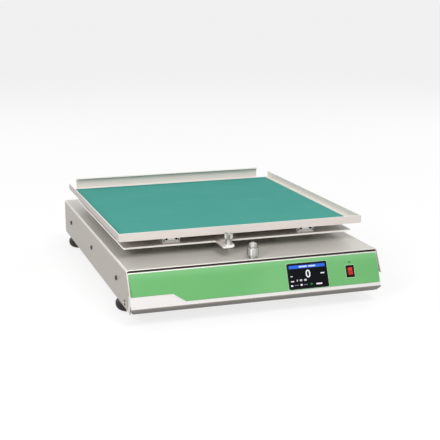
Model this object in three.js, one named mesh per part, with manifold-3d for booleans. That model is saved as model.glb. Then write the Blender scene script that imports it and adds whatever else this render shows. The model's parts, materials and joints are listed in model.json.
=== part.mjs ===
// A laboratory shaker: a low sheet metal case on four rubber feet, a carriage that slides left and right
// on the case, and a rimmed tray that slides front to back on the carriage. A belt-driven eccentric crank
// in the case carries the tray round in a circle. Millimetres, +Z up, -Y is the front, +X is the right.
import * as THREE from 'three';
import { mergeVertices } from 'three/addons/utils/BufferGeometryUtils.js';
import Module from 'manifold-3d';

const wasm = await Module();
wasm.setup();

// Case: outer sizes of the folded cover, and of the sloping front
const coverMargin = 2;
const frontApron = 61;
const rearApron = 55;
const caseHeight = 73;
const coverLift = 4.5;
const panelTilt = THREE.MathUtils.degToRad(22);
const panelRun = 68.2;
const noseFoot = 12.5;
const cheekReach = 6;
const cheekDrop = 44.2;
const noseFlap = 14;
const noseSlit = 10;
const flapOverlap = 6;
const noseCorner = 9;
const sheet = 1.5;
const bend = 4;
const rearCornerCut = 5;
const deckGap = 3;
const topFlange = 16;
const bottomFlange = 24;

// Fits between pieces
const fit = 0.3;
const slip = 0.5;
const overrun = 1;

// Chassis inside the cover
const panWall = 50;
const panInset = 9;
const crossbarWidth = 26;
const crossbarHeight = 22;
const crossbarWall = 2;

// Feet
const footRadius = 24;
const footHeight = 20;
const footFillet = 12;
const footShoulder = 6;
const footInset = 22;
const footFront = 80;
const footRear = 52;
const footSteps = 5;
const footSides = 32;
const studRadius = 3;
const studReach = 7;

// Screws that hold the cover on the pan, along each side wall
const wallScrewFront = 78;
const wallScrewHeight = 39.5;
const wallScrewCount = 3;
const wallScrewHead = 4.5;
const wallScrewHeadHeight = 2.4;
const wallScrewShank = 2;
const wallScrewReach = 6;

// Green facing on the sloping front, measured down the slope from the deck's edge
const facingTop = 6.9;
const facingBottom = 59.9;
const facingStep = 45.6;
const facingStepInset = 75;
const facingStepRun = 21;
const facingSide = 1.2;
const facingCorner = 2.5;
const facingThickness = 0.5;

// Display in the facing
const displayInset = 137;
const displayDrop = 36.5;
const displayWidth = 73.7;
const displayHeight = 44.7;
const displayLip = 2;
const displayBorder = 2.6;
const displayProud = 1.5;
const glassThickness = 1.2;
const glassRecess = 0.4;
const displayDepth = 9;

// Rocker switch in the facing
const switchInset = 57;
const switchDrop = 36.4;
const switchWidth = 15;
const switchHeight = 21;
const switchLip = 1.2;
const switchProud = 1.6;
const switchDepth = 17;
const rockerWidth = 8.8;
const rockerHeight = 13.6;
const rockerPivotDepth = 1.6;
const rockerAngle = THREE.MathUtils.degToRad(7);
const rockerEndRise = 2.8;
const rockerWaistRise = 2;
const rockerEndDrop = 1.6;
const rockerWaistDrop = 3;

// Linear guides, the same size in both directions
const guideHeight = 15;
const railWidth = 15;
const railHeight = 10;
const railGroove = 1.2;
const railGrooveHeight = 3;
const blockWidth = 32;
const blockHeight = 12;
const blockLength = 59;
const blockCap = 5;
const blockCapInset = 0.6;

// Carriage: the lower plate, which slides left and right
const plateInset = 12;
const plateSetback = 16;
const plateThickness = 3;
const plateCorner = 3;
const crossRailFront = 85;
const crossRailRear = 33;
const crossRailLength = 340;
const crossBlockX = 118;
const plateOpening = 30;
const sideBlockInset = 8;
const sideGuideX = 126;
const trayRailRear = 5;
const trayRailFront = 24;

// Lock tongue, bar, thumb screw and post at the front of the carriage
const tongueX = -39.3;
const tongueWidth = 19.5;
const tongueMargin = 5.5;
const tongueCorner = 2.5;
const barWidth = 17;
const barNose = 11;
const barTail = 87.5;
const barThickness = 3;
const barAngle = THREE.MathUtils.degToRad(-5.2);
const thumbX = -37;
const thumbClearance = 1.5;
const thumbShank = 3;
const thumbCollar = 5.5;
const thumbCollarHeight = 9;
const thumbHead = 7.5;
const thumbHeadHeight = 10;
const thumbKnurls = 24;
const thumbKnurlDepth = 0.6;
const thumbBelow = 3;
const postX = -2;
const postFront = 10;
const postStem = 7.2;
const postDome = 3.5;
const postCollar = 10.6;
const postCollarCrown = 2.4;
const postCollarBase = 2.5;
const postCollarHeight = 15.5;
const postHeight = 27;
const postSteps = 6;

// Tray: the upper plate, which slides front to back on the carriage
const trayWidth = 450;
const trayDepth = 484;
const trayRim = 14;
const trayBend = 3;
const trayFrontLip = 24;
const matSide = 11.5;
const matFront = 7;
const matRear = 12;
const matThickness = 1.5;
const backRailInset = 22;
const backRailShift = -7;
const backRailHeight = 22.5;
const backRailFlange = 9;
const backRailBend = 2.5;

// Drive: crank, belt and motor
const orbitRadius = 8;
const deckOpening = 24;
const shaftRadius = 7.35;
const shaftBottom = 11;
const eccentricRadius = 24;
const eccentricThickness = 8;
const eccentricLift = 4;
const weightOuter = 52;
const weightHalfSpread = THREE.MathUtils.degToRad(65);
const pinRadius = 5;
const pinWeb = 1.2;
const pinCollar = 8;
const pinCollarHeight = 3.5;
const bearingWall = 6;
const hubRadius = 25;
const hubHeight = 10;
const hubPocketDepth = 7.5;
const housingFlange = 45;
const housingFlangeThickness = 6;
const housingBarrel = 26;
const housingHeight = 37;
const shaftBearingWall = 10;
const shaftBearingHeight = 11;
const crankPulleyRadius = 48;
const motorPulleyRadius = 16;
const pulleyHeight = 14;
const pulleyRim = 2;
const pulleyRimHeight = 1.5;
const beltThickness = 2;
const motorGap = 11;
const motorSize = 70;
const motorHeight = 34;
const motorCorner = 8;
const motorShaft = 4;
const motorPilot = 19;
const motorPilotHeight = 2;
const motorClearance = 4;
const bracketThickness = 3;
const bracketSide = 4;
const bracketFlange = 14;

// Electronics on the pan
const supplyClearance = 15;
const supplyGap = 41;
const supplyWidth = 98;
const supplyDepth = 130;
const supplyHeight = 38;
const supplyStepDepth = 16;
const supplyStepHeight = 14;
const boardOffset = 70;
const boardFront = 60;
const boardWidth = 150;
const boardDepth = 90;
const boardThickness = 1.6;
const boardLift = 8;
const boardInset = 6;
const boardPost = 3;
const boardPartWidth = 30;
const boardPartDepth = 22;
const boardPartHeight = 12;

// Mains inlet in the rear panel
const rearInset = 4;
const inletInset = 77;
const inletHeight = 38;
const inletWidth = 48;
const inletTall = 27;
const inletFlange = 1.5;
const inletBody = 28;
const inletBodyHeight = 21;
const inletBodyDepth = 20;
const inletSocketWidth = 24;
const inletSocketHeight = 16;
const inletSocketDepth = 14;
const inletPinWidth = 4;
const inletPinThickness = 2;
const inletPinLength = 10;
const inletPinSpacing = 7;
const inletPinRise = 3;
const ventCount = 9;
const ventWidth = 4;
const ventHeight = 26;
const ventPitch = 10;
const ventInset = 107;

// Counts of steps on curves
const bendSteps = 4;
const arcSteps = 24;
const roundSides = 40;
const smallSides = 16;

// Heights and stations that follow from the sizes above
const caseBottom = footHeight;
const deckTop = caseBottom + caseHeight;
const deckUnder = deckTop - sheet;
const plateUnder = deckTop + guideHeight;
const plateTop = plateUnder + plateThickness;
const trayUnder = plateTop + guideHeight;
const trayFloor = trayUnder + sheet;
const trayTop = trayUnder + trayRim;
const caseWidth = trayWidth + 2 * coverMargin;
const deckDepth = frontApron + trayDepth + rearApron;
const coverFoot = caseBottom + coverLift;
const noseReach = panelRun * Math.sin(panelTilt);
const deckFront = (noseReach - deckDepth) / 2;
const deckRear = deckFront + deckDepth;
const trayY = deckFront + frontApron;
const pinY = trayY + trayDepth / 2;
const crankY = pinY - orbitRadius;
const plateY = trayY + plateSetback;
const plateDepth = 2 * (crankY - plateY);
const thumbY = trayY - 2 * orbitRadius - thumbClearance - thumbHead;
const innerHalf = caseWidth / 2 - sheet;
const panFloor = caseBottom + sheet;
const plateWidth = trayWidth - 2 * plateInset;
const backRailLength = trayWidth - 2 * backRailInset;
const footSide = caseWidth / 2 - footInset;
const displayX = caseWidth / 2 - displayInset;
const switchX = caseWidth / 2 - switchInset;
const boardX = displayX - boardOffset;
const bracketHalf = motorSize / 2 + bracketSide + bracketThickness + bracketFlange;
const supplyX = -bracketHalf - supplyClearance - supplyWidth / 2;
const inletX = inletInset - caseWidth / 2;
const ventX = caseWidth / 2 - ventInset;
const crossbarReach = plateDepth / 2 - crossRailRear;
const motorDistance = crossbarReach - crossbarWidth / 2 - motorGap - motorSize / 2;

// Finishes
const paint = new THREE.MeshStandardMaterial({ color: 0xd2cbc4, roughness: 0.45, metalness: 0.1 });
const silver = new THREE.MeshStandardMaterial({ color: 0xdedcd8, roughness: 0.35, metalness: 0.5 });
const green = new THREE.MeshStandardMaterial({ color: 0x84c887, roughness: 0.4, metalness: 0 });
const teal = new THREE.MeshStandardMaterial({ color: 0x4fa094, roughness: 0.7, metalness: 0 });
const black = new THREE.MeshStandardMaterial({ color: 0x17181a, roughness: 0.5, metalness: 0 });
const red = new THREE.MeshStandardMaterial({ color: 0xd8281c, roughness: 0.3, metalness: 0 });
const chrome = new THREE.MeshStandardMaterial({ color: 0xc9cbcc, roughness: 0.15, metalness: 1 });
const steel = new THREE.MeshStandardMaterial({ color: 0xa3a5a6, roughness: 0.35, metalness: 0.9 });
const circuit = new THREE.MeshStandardMaterial({ color: 0x1d5a35, roughness: 0.5, metalness: 0 });

// Joins doubled corners and drops collapsed triangles, so that a three.js geometry becomes a solid.
function solidOf(geometry) {
  const bare = geometry.clone();
  bare.deleteAttribute('normal');
  bare.deleteAttribute('uv');
  const merged = mergeVertices(bare);
  const index = merged.index.array;
  const corners = [];
  for (let i = 0; i < index.length; i += 3) {
    const [a, b, c] = [index[i], index[i + 1], index[i + 2]];
    if (a !== b && b !== c && c !== a) corners.push(a, b, c);
  }
  const vertProperties = new Float32Array(merged.attributes.position.array);
  const mesh = new wasm.Mesh({ numProp: 3, vertProperties, triVerts: new Uint32Array(corners) });
  return new wasm.Manifold(mesh);
}

function geometryOf(solid) {
  const mesh = solid.getMesh();
  const geometry = new THREE.BufferGeometry();
  geometry.setAttribute('position', new THREE.BufferAttribute(new Float32Array(mesh.vertProperties), 3));
  geometry.setIndex(new THREE.BufferAttribute(new Uint32Array(mesh.triVerts), 1));
  const faceted = geometry.toNonIndexed();
  faceted.computeVertexNormals();
  return faceted;
}

function shapeOf(points, holes = []) {
  const shape = new THREE.Shape(points.map(([u, v]) => new THREE.Vector2(u, v)));
  for (const hole of holes) shape.holes.push(new THREE.Path(hole.map(([u, v]) => new THREE.Vector2(u, v))));
  return shape;
}

function extruded(points, depth, holes) {
  return new THREE.ExtrudeGeometry(shapeOf(points, holes), { depth, bevelEnabled: false });
}

// An outline of [x, y] points, from height z0 to height z1.
function uprightSolid(points, z0, z1, holes) {
  return solidOf(extruded(points, z1 - z0, holes).translate(0, 0, z0));
}

// An outline of [y, z] points, from x0 to x1.
function acrossSolid(points, x0, x1) {
  const turn = new THREE.Matrix4().set(0, 0, 1, x0, 1, 0, 0, 0, 0, 1, 0, 0, 0, 0, 0, 1);
  return solidOf(extruded(points, x1 - x0).applyMatrix4(turn));
}

// An outline of [x, z] points, from y0 to y1.
function lengthwiseSolid(points, y0, y1) {
  const turn = new THREE.Matrix4().set(1, 0, 0, 0, 0, 0, -1, y1, 0, 1, 0, 0, 0, 0, 0, 1);
  return solidOf(extruded(points, y1 - y0).applyMatrix4(turn));
}

function block(x0, x1, y0, y1, z0, z1) {
  const box = new THREE.BoxGeometry(x1 - x0, y1 - y0, z1 - z0);
  return solidOf(box.translate((x0 + x1) / 2, (y0 + y1) / 2, (z0 + z1) / 2));
}

// A profile of [radius, height] points, turned about an upright axis at x, y.
function turned(profile, x, y, sides = roundSides) {
  const lathe = new THREE.LatheGeometry(profile.map(([r, z]) => new THREE.Vector2(r, z)), sides);
  return solidOf(lathe.rotateX(Math.PI / 2).translate(x, y, 0));
}

function rod(radius, z0, z1, x, y, sides = smallSides) {
  return turned([[0, z0], [radius, z0], [radius, z1], [0, z1]], x, y, sides);
}

function ring(inner, outer, z0, z1, x, y, sides = roundSides) {
  return turned([[inner, z0], [outer, z0], [outer, z1], [inner, z1], [inner, z0]], x, y, sides);
}

// A round bar along X, with its axis at y, z.
function rodAcross(radius, x0, x1, y, z, sides = smallSides) {
  const bar = new THREE.CylinderGeometry(radius, radius, x1 - x0, sides);
  return solidOf(bar.rotateZ(Math.PI / 2).translate((x0 + x1) / 2, y, z));
}

// Rounds the inner corners of a path of straight runs with the given radius.
function rounded(path, radius, closed = false) {
  const out = [];
  const count = path.length;
  path.forEach((corner, i) => {
    if (!closed && (i === 0 || i === count - 1)) {
      out.push(corner);
      return;
    }
    const here = new THREE.Vector2(...corner);
    const back = new THREE.Vector2(...path[(i + count - 1) % count]).sub(here).normalize();
    const ahead = new THREE.Vector2(...path[(i + 1) % count]).sub(here).normalize();
    const half = Math.acos(THREE.MathUtils.clamp(back.dot(ahead), -1, 1)) / 2;
    const trim = radius / Math.tan(half);
    const start = back.clone().multiplyScalar(trim).add(here);
    const end = ahead.clone().multiplyScalar(trim).add(here);
    const middle = back.clone().add(ahead).normalize().multiplyScalar(radius / Math.sin(half)).add(here);
    const from = start.clone().sub(middle);
    const sweep = from.angleTo(end.clone().sub(middle)) * Math.sign(from.cross(end.clone().sub(middle)));
    for (let k = 0; k <= bendSteps; k += 1) {
      const point = from.clone().rotateAround(new THREE.Vector2(0, 0), (sweep * k) / bendSteps).add(middle);
      out.push([point.x, point.y]);
    }
  });
  return out;
}

// The closed outline of a bent sheet. The path is its outer face, with the sheet to the right of travel.
function sheetOutline(path, thickness) {
  const inner = path.map(([u, v], i) => {
    const here = new THREE.Vector2(u, v);
    const normals = [];
    if (i > 0) normals.push(here.clone().sub(new THREE.Vector2(...path[i - 1])));
    if (i < path.length - 1) normals.push(new THREE.Vector2(...path[i + 1]).sub(here));
    const sides = normals.map((run) => new THREE.Vector2(run.y, -run.x).normalize());
    const sum = sides.reduce((total, side) => total.add(side), new THREE.Vector2());
    const mitre = sum.normalize();
    const stretch = thickness / mitre.dot(sides[0]);
    return [u + mitre.x * stretch, v + mitre.y * stretch];
  });
  return [...path, ...inner.reverse()];
}

function rectangle(x0, x1, y0, y1) {
  return [[x0, y0], [x1, y0], [x1, y1], [x0, y1]];
}

function circle(radius, x, y, sides = roundSides) {
  return Array.from({ length: sides }, (_, i) => {
    const angle = (2 * Math.PI * i) / sides;
    return [x + radius * Math.cos(angle), y + radius * Math.sin(angle)];
  });
}

function union(solids) {
  return solids.reduce((total, solid) => total.add(solid));
}

const shaker = new THREE.Group();
const slope = new THREE.Group();
slope.position.set(0, deckFront, deckTop);
slope.rotation.x = Math.PI / 2 - panelTilt;
shaker.add(slope);

function add(name, solid, material, parent = shaker) {
  const mesh = new THREE.Mesh(geometryOf(solid), material);
  mesh.name = name;
  parent.add(mesh);
}

// A point on the slope's outer face, at a distance down from the deck's edge, as [y, z].
function slopePoint(drop, proud = 0) {
  const y = deckFront - drop * Math.sin(panelTilt) - proud * Math.cos(panelTilt);
  return [y, deckTop - drop * Math.cos(panelTilt) + proud * Math.sin(panelTilt)];
}

const wallScrewStations = Array.from({ length: wallScrewCount }, (_, i) => {
  const pitch = (deckDepth - 2 * wallScrewFront) / (wallScrewCount - 1);
  return deckFront + wallScrewFront + i * pitch;
});

function wallHoles(x0, x1, clearance) {
  return union(wallScrewStations.map((y) => {
    return rodAcross(wallScrewShank + clearance, x0, x1, y, caseBottom + wallScrewHeight);
  }));
}

// Rails across the machine lie at these stations, over the crossbars.
const crossRailStations = [plateY + crossRailFront, crankY + crossbarReach];

// The cheeks of the cover end at this height. Below it the front panel's end flaps show, which run back
// inside the cover.
const cheekFoot = slopePoint(cheekDrop, cheekReach)[1];
const cheekRear = slopePoint(cheekDrop)[0] + noseFlap;
const cheekToe = deckFront - noseFoot + noseFlap;

function topCover() {
  const half = caseWidth / 2;
  const section = [[-half, coverFoot], [-half, deckTop], [half, deckTop], [half, coverFoot]];
  const folded = sheetOutline(rounded(section, bend), sheet);
  const channel = lengthwiseSolid(folded, deckFront - noseReach, deckRear);
  const side = [
    [deckFront, deckTop],
    slopePoint(cheekDrop, cheekReach),
    [cheekRear, cheekFoot],
    [cheekToe, coverFoot],
    [deckRear - rearCornerCut, coverFoot],
    [deckRear, coverFoot + rearCornerCut],
    [deckRear, deckTop],
  ];
  const body = channel.intersect(acrossSolid(side, -half - overrun, half + overrun));
  const opening = rod(deckOpening, deckUnder - overrun, deckTop + overrun, 0, crankY, roundSides);
  return body.subtract(opening).subtract(wallHoles(-half - overrun, half + overrun, slip));
}

function basePan() {
  const half = innerHalf - fit;
  const top = caseBottom + panWall;
  const section = [[-half, top], [-half, caseBottom], [half, caseBottom], [half, top]];
  const path = rounded(section.reverse(), bend);
  const y0 = deckFront + bottomFlange - noseFoot + fit;
  const pan = lengthwiseSolid(sheetOutline(path, sheet), y0, deckRear - panInset);
  const studs = footPlaces.map(([x, y]) => {
    return rod(studRadius + fit, caseBottom - overrun, panFloor + overrun, x, y);
  });
  const posts = boardCorners.map(([x, y]) => rod(boardPost, panFloor - sheet / 2, boardBottom, x, y));
  const cuts = union([...studs, wallHoles(-half - overrun, half + overrun, slip)]);
  return pan.subtract(cuts).add(union(posts));
}

// The slope turns under at a rounded nose, and the end flaps leave a narrow gap to the nose.
function frontPanel() {
  const half = innerHalf - fit;
  const [topY, topZ] = slopePoint(0);
  const flangeTop = topZ - sheet - deckGap;
  const path = [
    [deckFront - noseFoot + bottomFlange, caseBottom],
    [deckFront - noseFoot, caseBottom],
    slopePoint(panelRun),
    slopePoint((topZ - flangeTop) / Math.cos(panelTilt)),
    [topY + topFlange, flangeTop],
  ];
  const outline = sheetOutline(rounded(path, 2 * sheet), sheet);
  const flapTop = cheekFoot + flapOverlap;
  const flapEnd = deckFront - noseFoot + bottomFlange;
  const [flapY] = slopePoint((deckTop - flapTop) / Math.cos(panelTilt));
  const flap = [
    [flapY, flapTop],
    slopePoint(panelRun - noseSlit),
    [deckFront - noseFoot + sheet, caseBottom],
    [flapEnd, caseBottom],
    [flapEnd, flapTop],
  ];
  const flaps = acrossSolid(flap, -half, sheet - half).add(acrossSolid(flap, half - sheet, half));
  const front = [[-half, deckTop], [-half, caseBottom], [half, caseBottom], [half, deckTop]];
  const corners = lengthwiseSolid(rounded(front, noseCorner), deckFront - deckDepth, deckRear);
  const cuts = [
    slopeBlock(displayX, displayDrop, displayWidth - 2 * displayLip, displayHeight - 2 * displayLip),
    slopeBlock(switchX, switchDrop, switchWidth - 2 * switchLip, switchHeight - 2 * switchLip),
  ];
  return acrossSolid(outline, -half, half).intersect(corners).add(flaps).subtract(union(cuts));
}

// A cutter square to the slope, centred at x and at a drop from the deck's edge.
function slopeBlock(x, drop, width, height) {
  const reach = 3 * sheet;
  const box = new THREE.BoxGeometry(width, height, 2 * reach).translate(x, -drop, 0);
  const turn = new THREE.Matrix4().makeRotationX(Math.PI / 2 - panelTilt);
  return solidOf(box.applyMatrix4(turn).translate(0, deckFront, deckTop));
}

function rearPanel() {
  const y1 = deckRear - rearInset;
  const half = innerHalf - fit;
  const top = deckUnder - fit;
  const outline = [[-half, panFloor + fit], [-half, top], [half, top], [half, panFloor + fit]];
  const wall = lengthwiseSolid(rounded(outline, bend), y1 - sheet, y1);
  const z = caseBottom + inletHeight;
  const hole = block(
    inletX - inletBody / 2 - slip, inletX + inletBody / 2 + slip,
    y1 - sheet - overrun, y1 + overrun,
    z - inletBodyHeight / 2 - slip, z + inletBodyHeight / 2 + slip,
  );
  const vents = Array.from({ length: ventCount }, (_, i) => {
    const x = ventX + (i - (ventCount - 1) / 2) * ventPitch;
    return block(
      x - ventWidth / 2, x + ventWidth / 2,
      y1 - sheet - overrun, y1 + overrun,
      z - ventHeight / 2, z + ventHeight / 2,
    );
  });
  const pan = deckRear - panInset;
  const hem = block(-half + bend, half - bend, pan + fit, y1, caseBottom, panFloor);
  const web = block(-half + bend, half - bend, y1 - sheet, y1, panFloor - sheet, panFloor + fit + overrun);
  return wall.subtract(union([hole, ...vents])).add(hem).add(web);
}

const footPlaces = [
  [-footSide, deckFront + footFront],
  [footSide, deckFront + footFront],
  [-footSide, deckRear - footRear],
  [footSide, deckRear - footRear],
];

// A domed rubber foot, moulded round the head of the stud that holds it to the pan.
function foot(x, y) {
  const quarter = Array.from({ length: footSteps + 1 }, (_, i) => (Math.PI / 2) * (i / footSteps));
  const dome = quarter.map((angle) => [
    footRadius - footFillet + footFillet * Math.sin(angle),
    footFillet - footFillet * Math.cos(angle),
  ]);
  const shoulder = quarter.map((angle) => [
    footRadius - footShoulder + footShoulder * Math.cos(angle),
    caseBottom - footShoulder + footShoulder * Math.sin(angle),
  ]);
  const profile = [
    [0, 0],
    ...dome,
    ...shoulder,
    [studRadius, caseBottom],
    [studRadius, panFloor + studReach],
    [0, panFloor + studReach],
  ];
  return turned(profile, x, y, footSides);
}

// A cover screw with a button head on the wall. Side is -1 on the left and 1 on the right.
function coverScrew(side, y) {
  const face = (side * caseWidth) / 2;
  const tip = side * (innerHalf - fit - sheet - wallScrewReach);
  const outer = face + side * wallScrewHeadHeight;
  const z = caseBottom + wallScrewHeight;
  const head = rodAcross(wallScrewHead, Math.min(face, outer), Math.max(face, outer), y, z);
  return head.add(rodAcross(wallScrewShank, Math.min(tip, outer), Math.max(tip, outer), y, z));
}

function crossbar(y) {
  const half = innerHalf - bend;
  const top = deckUnder;
  const outer = block(-half, half, y - crossbarWidth / 2, y + crossbarWidth / 2, top - crossbarHeight, top);
  const inside = crossbarWidth / 2 - crossbarWall;
  const hollow = block(
    -half - overrun, half + overrun, y - inside, y + inside,
    top - crossbarHeight + crossbarWall, top - crossbarWall,
  );
  return outer.subtract(hollow);
}

// Section of a guide rail, centred on u, standing on v: its sides are grooved for the balls.
function railSection(u, v, up = 1) {
  const half = railWidth / 2;
  const grooveTop = railHeight - railGroove;
  const grooveBottom = grooveTop - railGrooveHeight;
  const side = [
    [half, 0], [half, grooveBottom - railGroove], [half - railGroove, grooveBottom],
    [half - railGroove, grooveTop - railGroove], [half, grooveTop], [half, railHeight],
  ];
  const mirrored = side.map(([a, b]) => [-a, b]).reverse();
  return [...side, ...mirrored].map(([a, b]) => [u + a, v + up * b]);
}

function crossRail(y) {
  return acrossSolid(railSection(y, deckTop), -crossRailLength / 2, crossRailLength / 2);
}

// A guide block that runs along X under the carriage, gripping a rail on the deck.
function crossBlock(x, y) {
  const bottom = plateUnder - blockHeight;
  const half = blockLength / 2;
  const inner = half - blockCap;
  const wide = blockWidth / 2;
  const body = block(x - inner, x + inner, y - wide, y + wide, bottom, plateUnder);
  const capHalf = wide - blockCapInset;
  const caps = block(x - half, x + half, y - capHalf, y + capHalf, bottom, plateUnder - blockCapInset);
  const slot = railWidth / 2 + fit;
  const channel = block(
    x - half - overrun, x + half + overrun, y - slot, y + slot,
    bottom - overrun, deckTop + railHeight + fit,
  );
  return body.add(caps).subtract(channel);
}

function carriagePlate() {
  const x = plateWidth / 2;
  const y0 = plateY;
  const y1 = plateY + plateDepth;
  const tongueFront = thumbY - tongueMargin;
  const corners = rounded(rectangle(-x, x, y0, y1), plateCorner, true);
  const left = tongueX - tongueWidth / 2;
  const tongue = rectangle(left, left + tongueWidth, tongueFront, y0 + tongueWidth);
  const tongueSheet = uprightSolid(rounded(tongue, tongueCorner, true), plateUnder, plateTop);
  const sheets = uprightSolid(corners, plateUnder, plateTop).add(tongueSheet);
  const opening = rod(plateOpening, plateUnder - overrun, plateTop + overrun, 0, crankY, roundSides);
  const thumb = rod(thumbShank + fit, plateUnder - overrun, plateTop + overrun, thumbX, thumbY);
  return sheets.subtract(opening).subtract(thumb);
}

function lockBar() {
  const outline = rounded(rectangle(-barWidth / 2, barWidth / 2, -barNose, barTail), tongueCorner, true);
  const shape = extruded(outline, barThickness, [circle(thumbShank + fit, 0, 0, smallSides)]);
  return solidOf(shape.rotateZ(barAngle).translate(thumbX, thumbY, plateTop));
}

function lockScrew() {
  const seat = plateTop + barThickness;
  const headBottom = seat + thumbCollarHeight;
  const stem = turned([
    [0, plateUnder - thumbBelow],
    [thumbShank, plateUnder - thumbBelow],
    [thumbShank, seat],
    [thumbCollar, seat],
    [thumbCollar, headBottom + fit],
    [0, headBottom + fit],
  ], thumbX, thumbY, smallSides);
  const knurl = Array.from({ length: 2 * thumbKnurls }, (_, i) => {
    const angle = (Math.PI * i) / thumbKnurls;
    const r = i % 2 ? thumbHead - thumbKnurlDepth : thumbHead;
    return [thumbX + r * Math.cos(angle), thumbY + r * Math.sin(angle)];
  });
  return stem.add(uprightSolid(knurl, headBottom, headBottom + thumbHeadHeight));
}

// The post has a domed top and a barrel-shaped collar.
function lockPost() {
  const base = deckTop;
  const middle = base + postCollarBase + postCollarHeight / 2;
  const top = base + postHeight;
  const collar = Array.from({ length: 2 * postSteps + 1 }, (_, i) => {
    const angle = (Math.PI / 2) * (i / postSteps - 1);
    const r = postCollar - postCollarCrown + postCollarCrown * Math.cos(angle);
    return [r, middle + (postCollarHeight / 2) * Math.sin(angle)];
  });
  const dome = Array.from({ length: postSteps + 1 }, (_, i) => {
    const angle = (Math.PI / 2) * (i / postSteps);
    return [postStem - postDome + postDome * Math.cos(angle), top - postDome + postDome * Math.sin(angle)];
  });
  const [collarFoot, collarHead] = [collar[0][1], collar[collar.length - 1][1]];
  return turned([
    [0, base],
    [postStem, base],
    [postStem, collarFoot],
    ...collar,
    [postStem, collarHead],
    ...dome,
    [0, top],
  ], postX, deckFront + postFront);
}

// A guide block that stands on the carriage and grips a rail under the tray.
function sideBlock(x, y) {
  const top = plateTop + blockHeight;
  const half = blockLength / 2;
  const inner = half - blockCap;
  const wide = blockWidth / 2;
  const body = block(x - wide, x + wide, y - inner, y + inner, plateTop, top);
  const capHalf = wide - blockCapInset;
  const caps = block(x - capHalf, x + capHalf, y - half, y + half, plateTop, top - blockCapInset);
  const slot = railWidth / 2 + fit;
  const channel = block(
    x - slot, x + slot, y - half - overrun, y + half + overrun,
    trayUnder - railHeight - fit, top + overrun,
  );
  return body.add(caps).subtract(channel);
}

function sideRail(x) {
  const section = railSection(x, trayUnder, -1);
  return lengthwiseSolid(section, trayY + trayRailFront, trayY + trayDepth - trayRailRear);
}

function tray() {
  const half = trayWidth / 2;
  const rear = trayY + trayDepth;
  const section = [[half, trayTop], [half, trayUnder], [-half, trayUnder], [-half, trayTop]];
  const channel = lengthwiseSolid(sheetOutline(rounded(section, trayBend), sheet), trayY, rear);
  const lip = [[trayY + trayFrontLip, trayUnder], [trayY, trayUnder], [trayY, trayTop]];
  return channel.add(acrossSolid(sheetOutline(rounded(lip, trayBend), sheet), -half, half));
}

function mat() {
  const half = trayWidth / 2 - matSide;
  const rear = trayY + trayDepth - matRear;
  return block(-half, half, trayY + matFront, rear, trayFloor, trayFloor + matThickness);
}

const backRailLeft = backRailShift - backRailLength / 2;
const backRailRight = backRailShift + backRailLength / 2;

function backRail() {
  const rear = trayY + trayDepth;
  const front = rear - backRailFlange;
  const top = trayFloor + backRailHeight;
  const path = [[front, top], [rear, top], [rear, trayFloor], [front, trayFloor]];
  return acrossSolid(sheetOutline(rounded(path, backRailBend), sheet), backRailLeft, backRailRight);
}

const eccentricBottom = deckTop + eccentricLift;
const eccentricTop = eccentricBottom + eccentricThickness;
const eccentricMiddle = (eccentricBottom + eccentricTop) / 2;
const hubBottom = trayUnder - hubHeight;
const housingBottom = deckUnder - housingFlangeThickness - housingHeight;
const pulleyTop = housingBottom - slip;
const pulleyBottom = pulleyTop - pulleyHeight;
const pinBearingBottom = eccentricTop + pinCollarHeight;
const pinTop = hubBottom - slip;
const pinBearingOuter = pinRadius + fit + bearingWall;
const motorY = crankY + motorDistance;
const motorFace = pulleyTop + motorClearance + bracketThickness;

function bearingHousing() {
  const flangeBottom = deckUnder - housingFlangeThickness;
  const bore = shaftRadius + fit + shaftBearingWall + fit;
  return turned([
    [bore, housingBottom],
    [housingBarrel, housingBottom],
    [housingBarrel, flangeBottom],
    [housingFlange, flangeBottom],
    [housingFlange, deckUnder],
    [bore, deckUnder],
    [bore, housingBottom],
  ], 0, crankY);
}

function shaftBearing(bottom) {
  const inner = shaftRadius + fit;
  return ring(inner, inner + shaftBearingWall, bottom, bottom + shaftBearingHeight, 0, crankY);
}

function crankShaft() {
  return rod(shaftRadius, caseBottom + shaftBottom, eccentricMiddle - fit, 0, crankY, roundSides);
}

// The disc sits on the shaft's top end, and the crank pin is let into its upper face.
function crankDisc() {
  const disc = rod(eccentricRadius, eccentricBottom, eccentricTop, 0, crankY, roundSides);
  const bore = rod(shaftRadius + fit, eccentricBottom - overrun, eccentricMiddle, 0, crankY, roundSides);
  const seat = rod(pinRadius + fit, eccentricMiddle + pinWeb, eccentricTop + overrun, 0, pinY);
  return disc.subtract(bore).subtract(seat);
}

// Points of an arc about x, y. Angles are measured from the rear, +Y, towards the left.
function arc(radius, x, y, start, end) {
  return Array.from({ length: arcSteps + 1 }, (_, i) => {
    const angle = start + ((end - start) * i) / arcSteps;
    return [x - radius * Math.sin(angle), y + radius * Math.cos(angle)];
  });
}

// The weight lies in front of the disc, opposite the pin, and balances the tray.
function counterweight() {
  const start = Math.PI - weightHalfSpread;
  const end = Math.PI + weightHalfSpread;
  const outer = arc(weightOuter, 0, crankY, start, end);
  const inner = arc(eccentricRadius + fit, 0, crankY, end, start);
  return uprightSolid([...outer, ...inner], eccentricBottom, eccentricTop);
}

// The pin stands to the rear of the shaft at rest. Its top ends just under the tray's hub.
function crankPin() {
  const bottom = eccentricMiddle + pinWeb + fit;
  return turned([
    [0, bottom],
    [pinRadius, bottom],
    [pinRadius, eccentricTop],
    [pinCollar, eccentricTop],
    [pinCollar, pinBearingBottom],
    [pinRadius, pinBearingBottom],
    [pinRadius, pinTop],
    [0, pinTop],
  ], 0, pinY);
}

function trayHub() {
  const pocket = pinBearingOuter + fit;
  const pocketTop = hubBottom + hubPocketDepth;
  return turned([
    [0, pocketTop],
    [pocket, pocketTop],
    [pocket, hubBottom],
    [hubRadius, hubBottom],
    [hubRadius, trayUnder],
    [0, trayUnder],
  ], 0, pinY);
}

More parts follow.
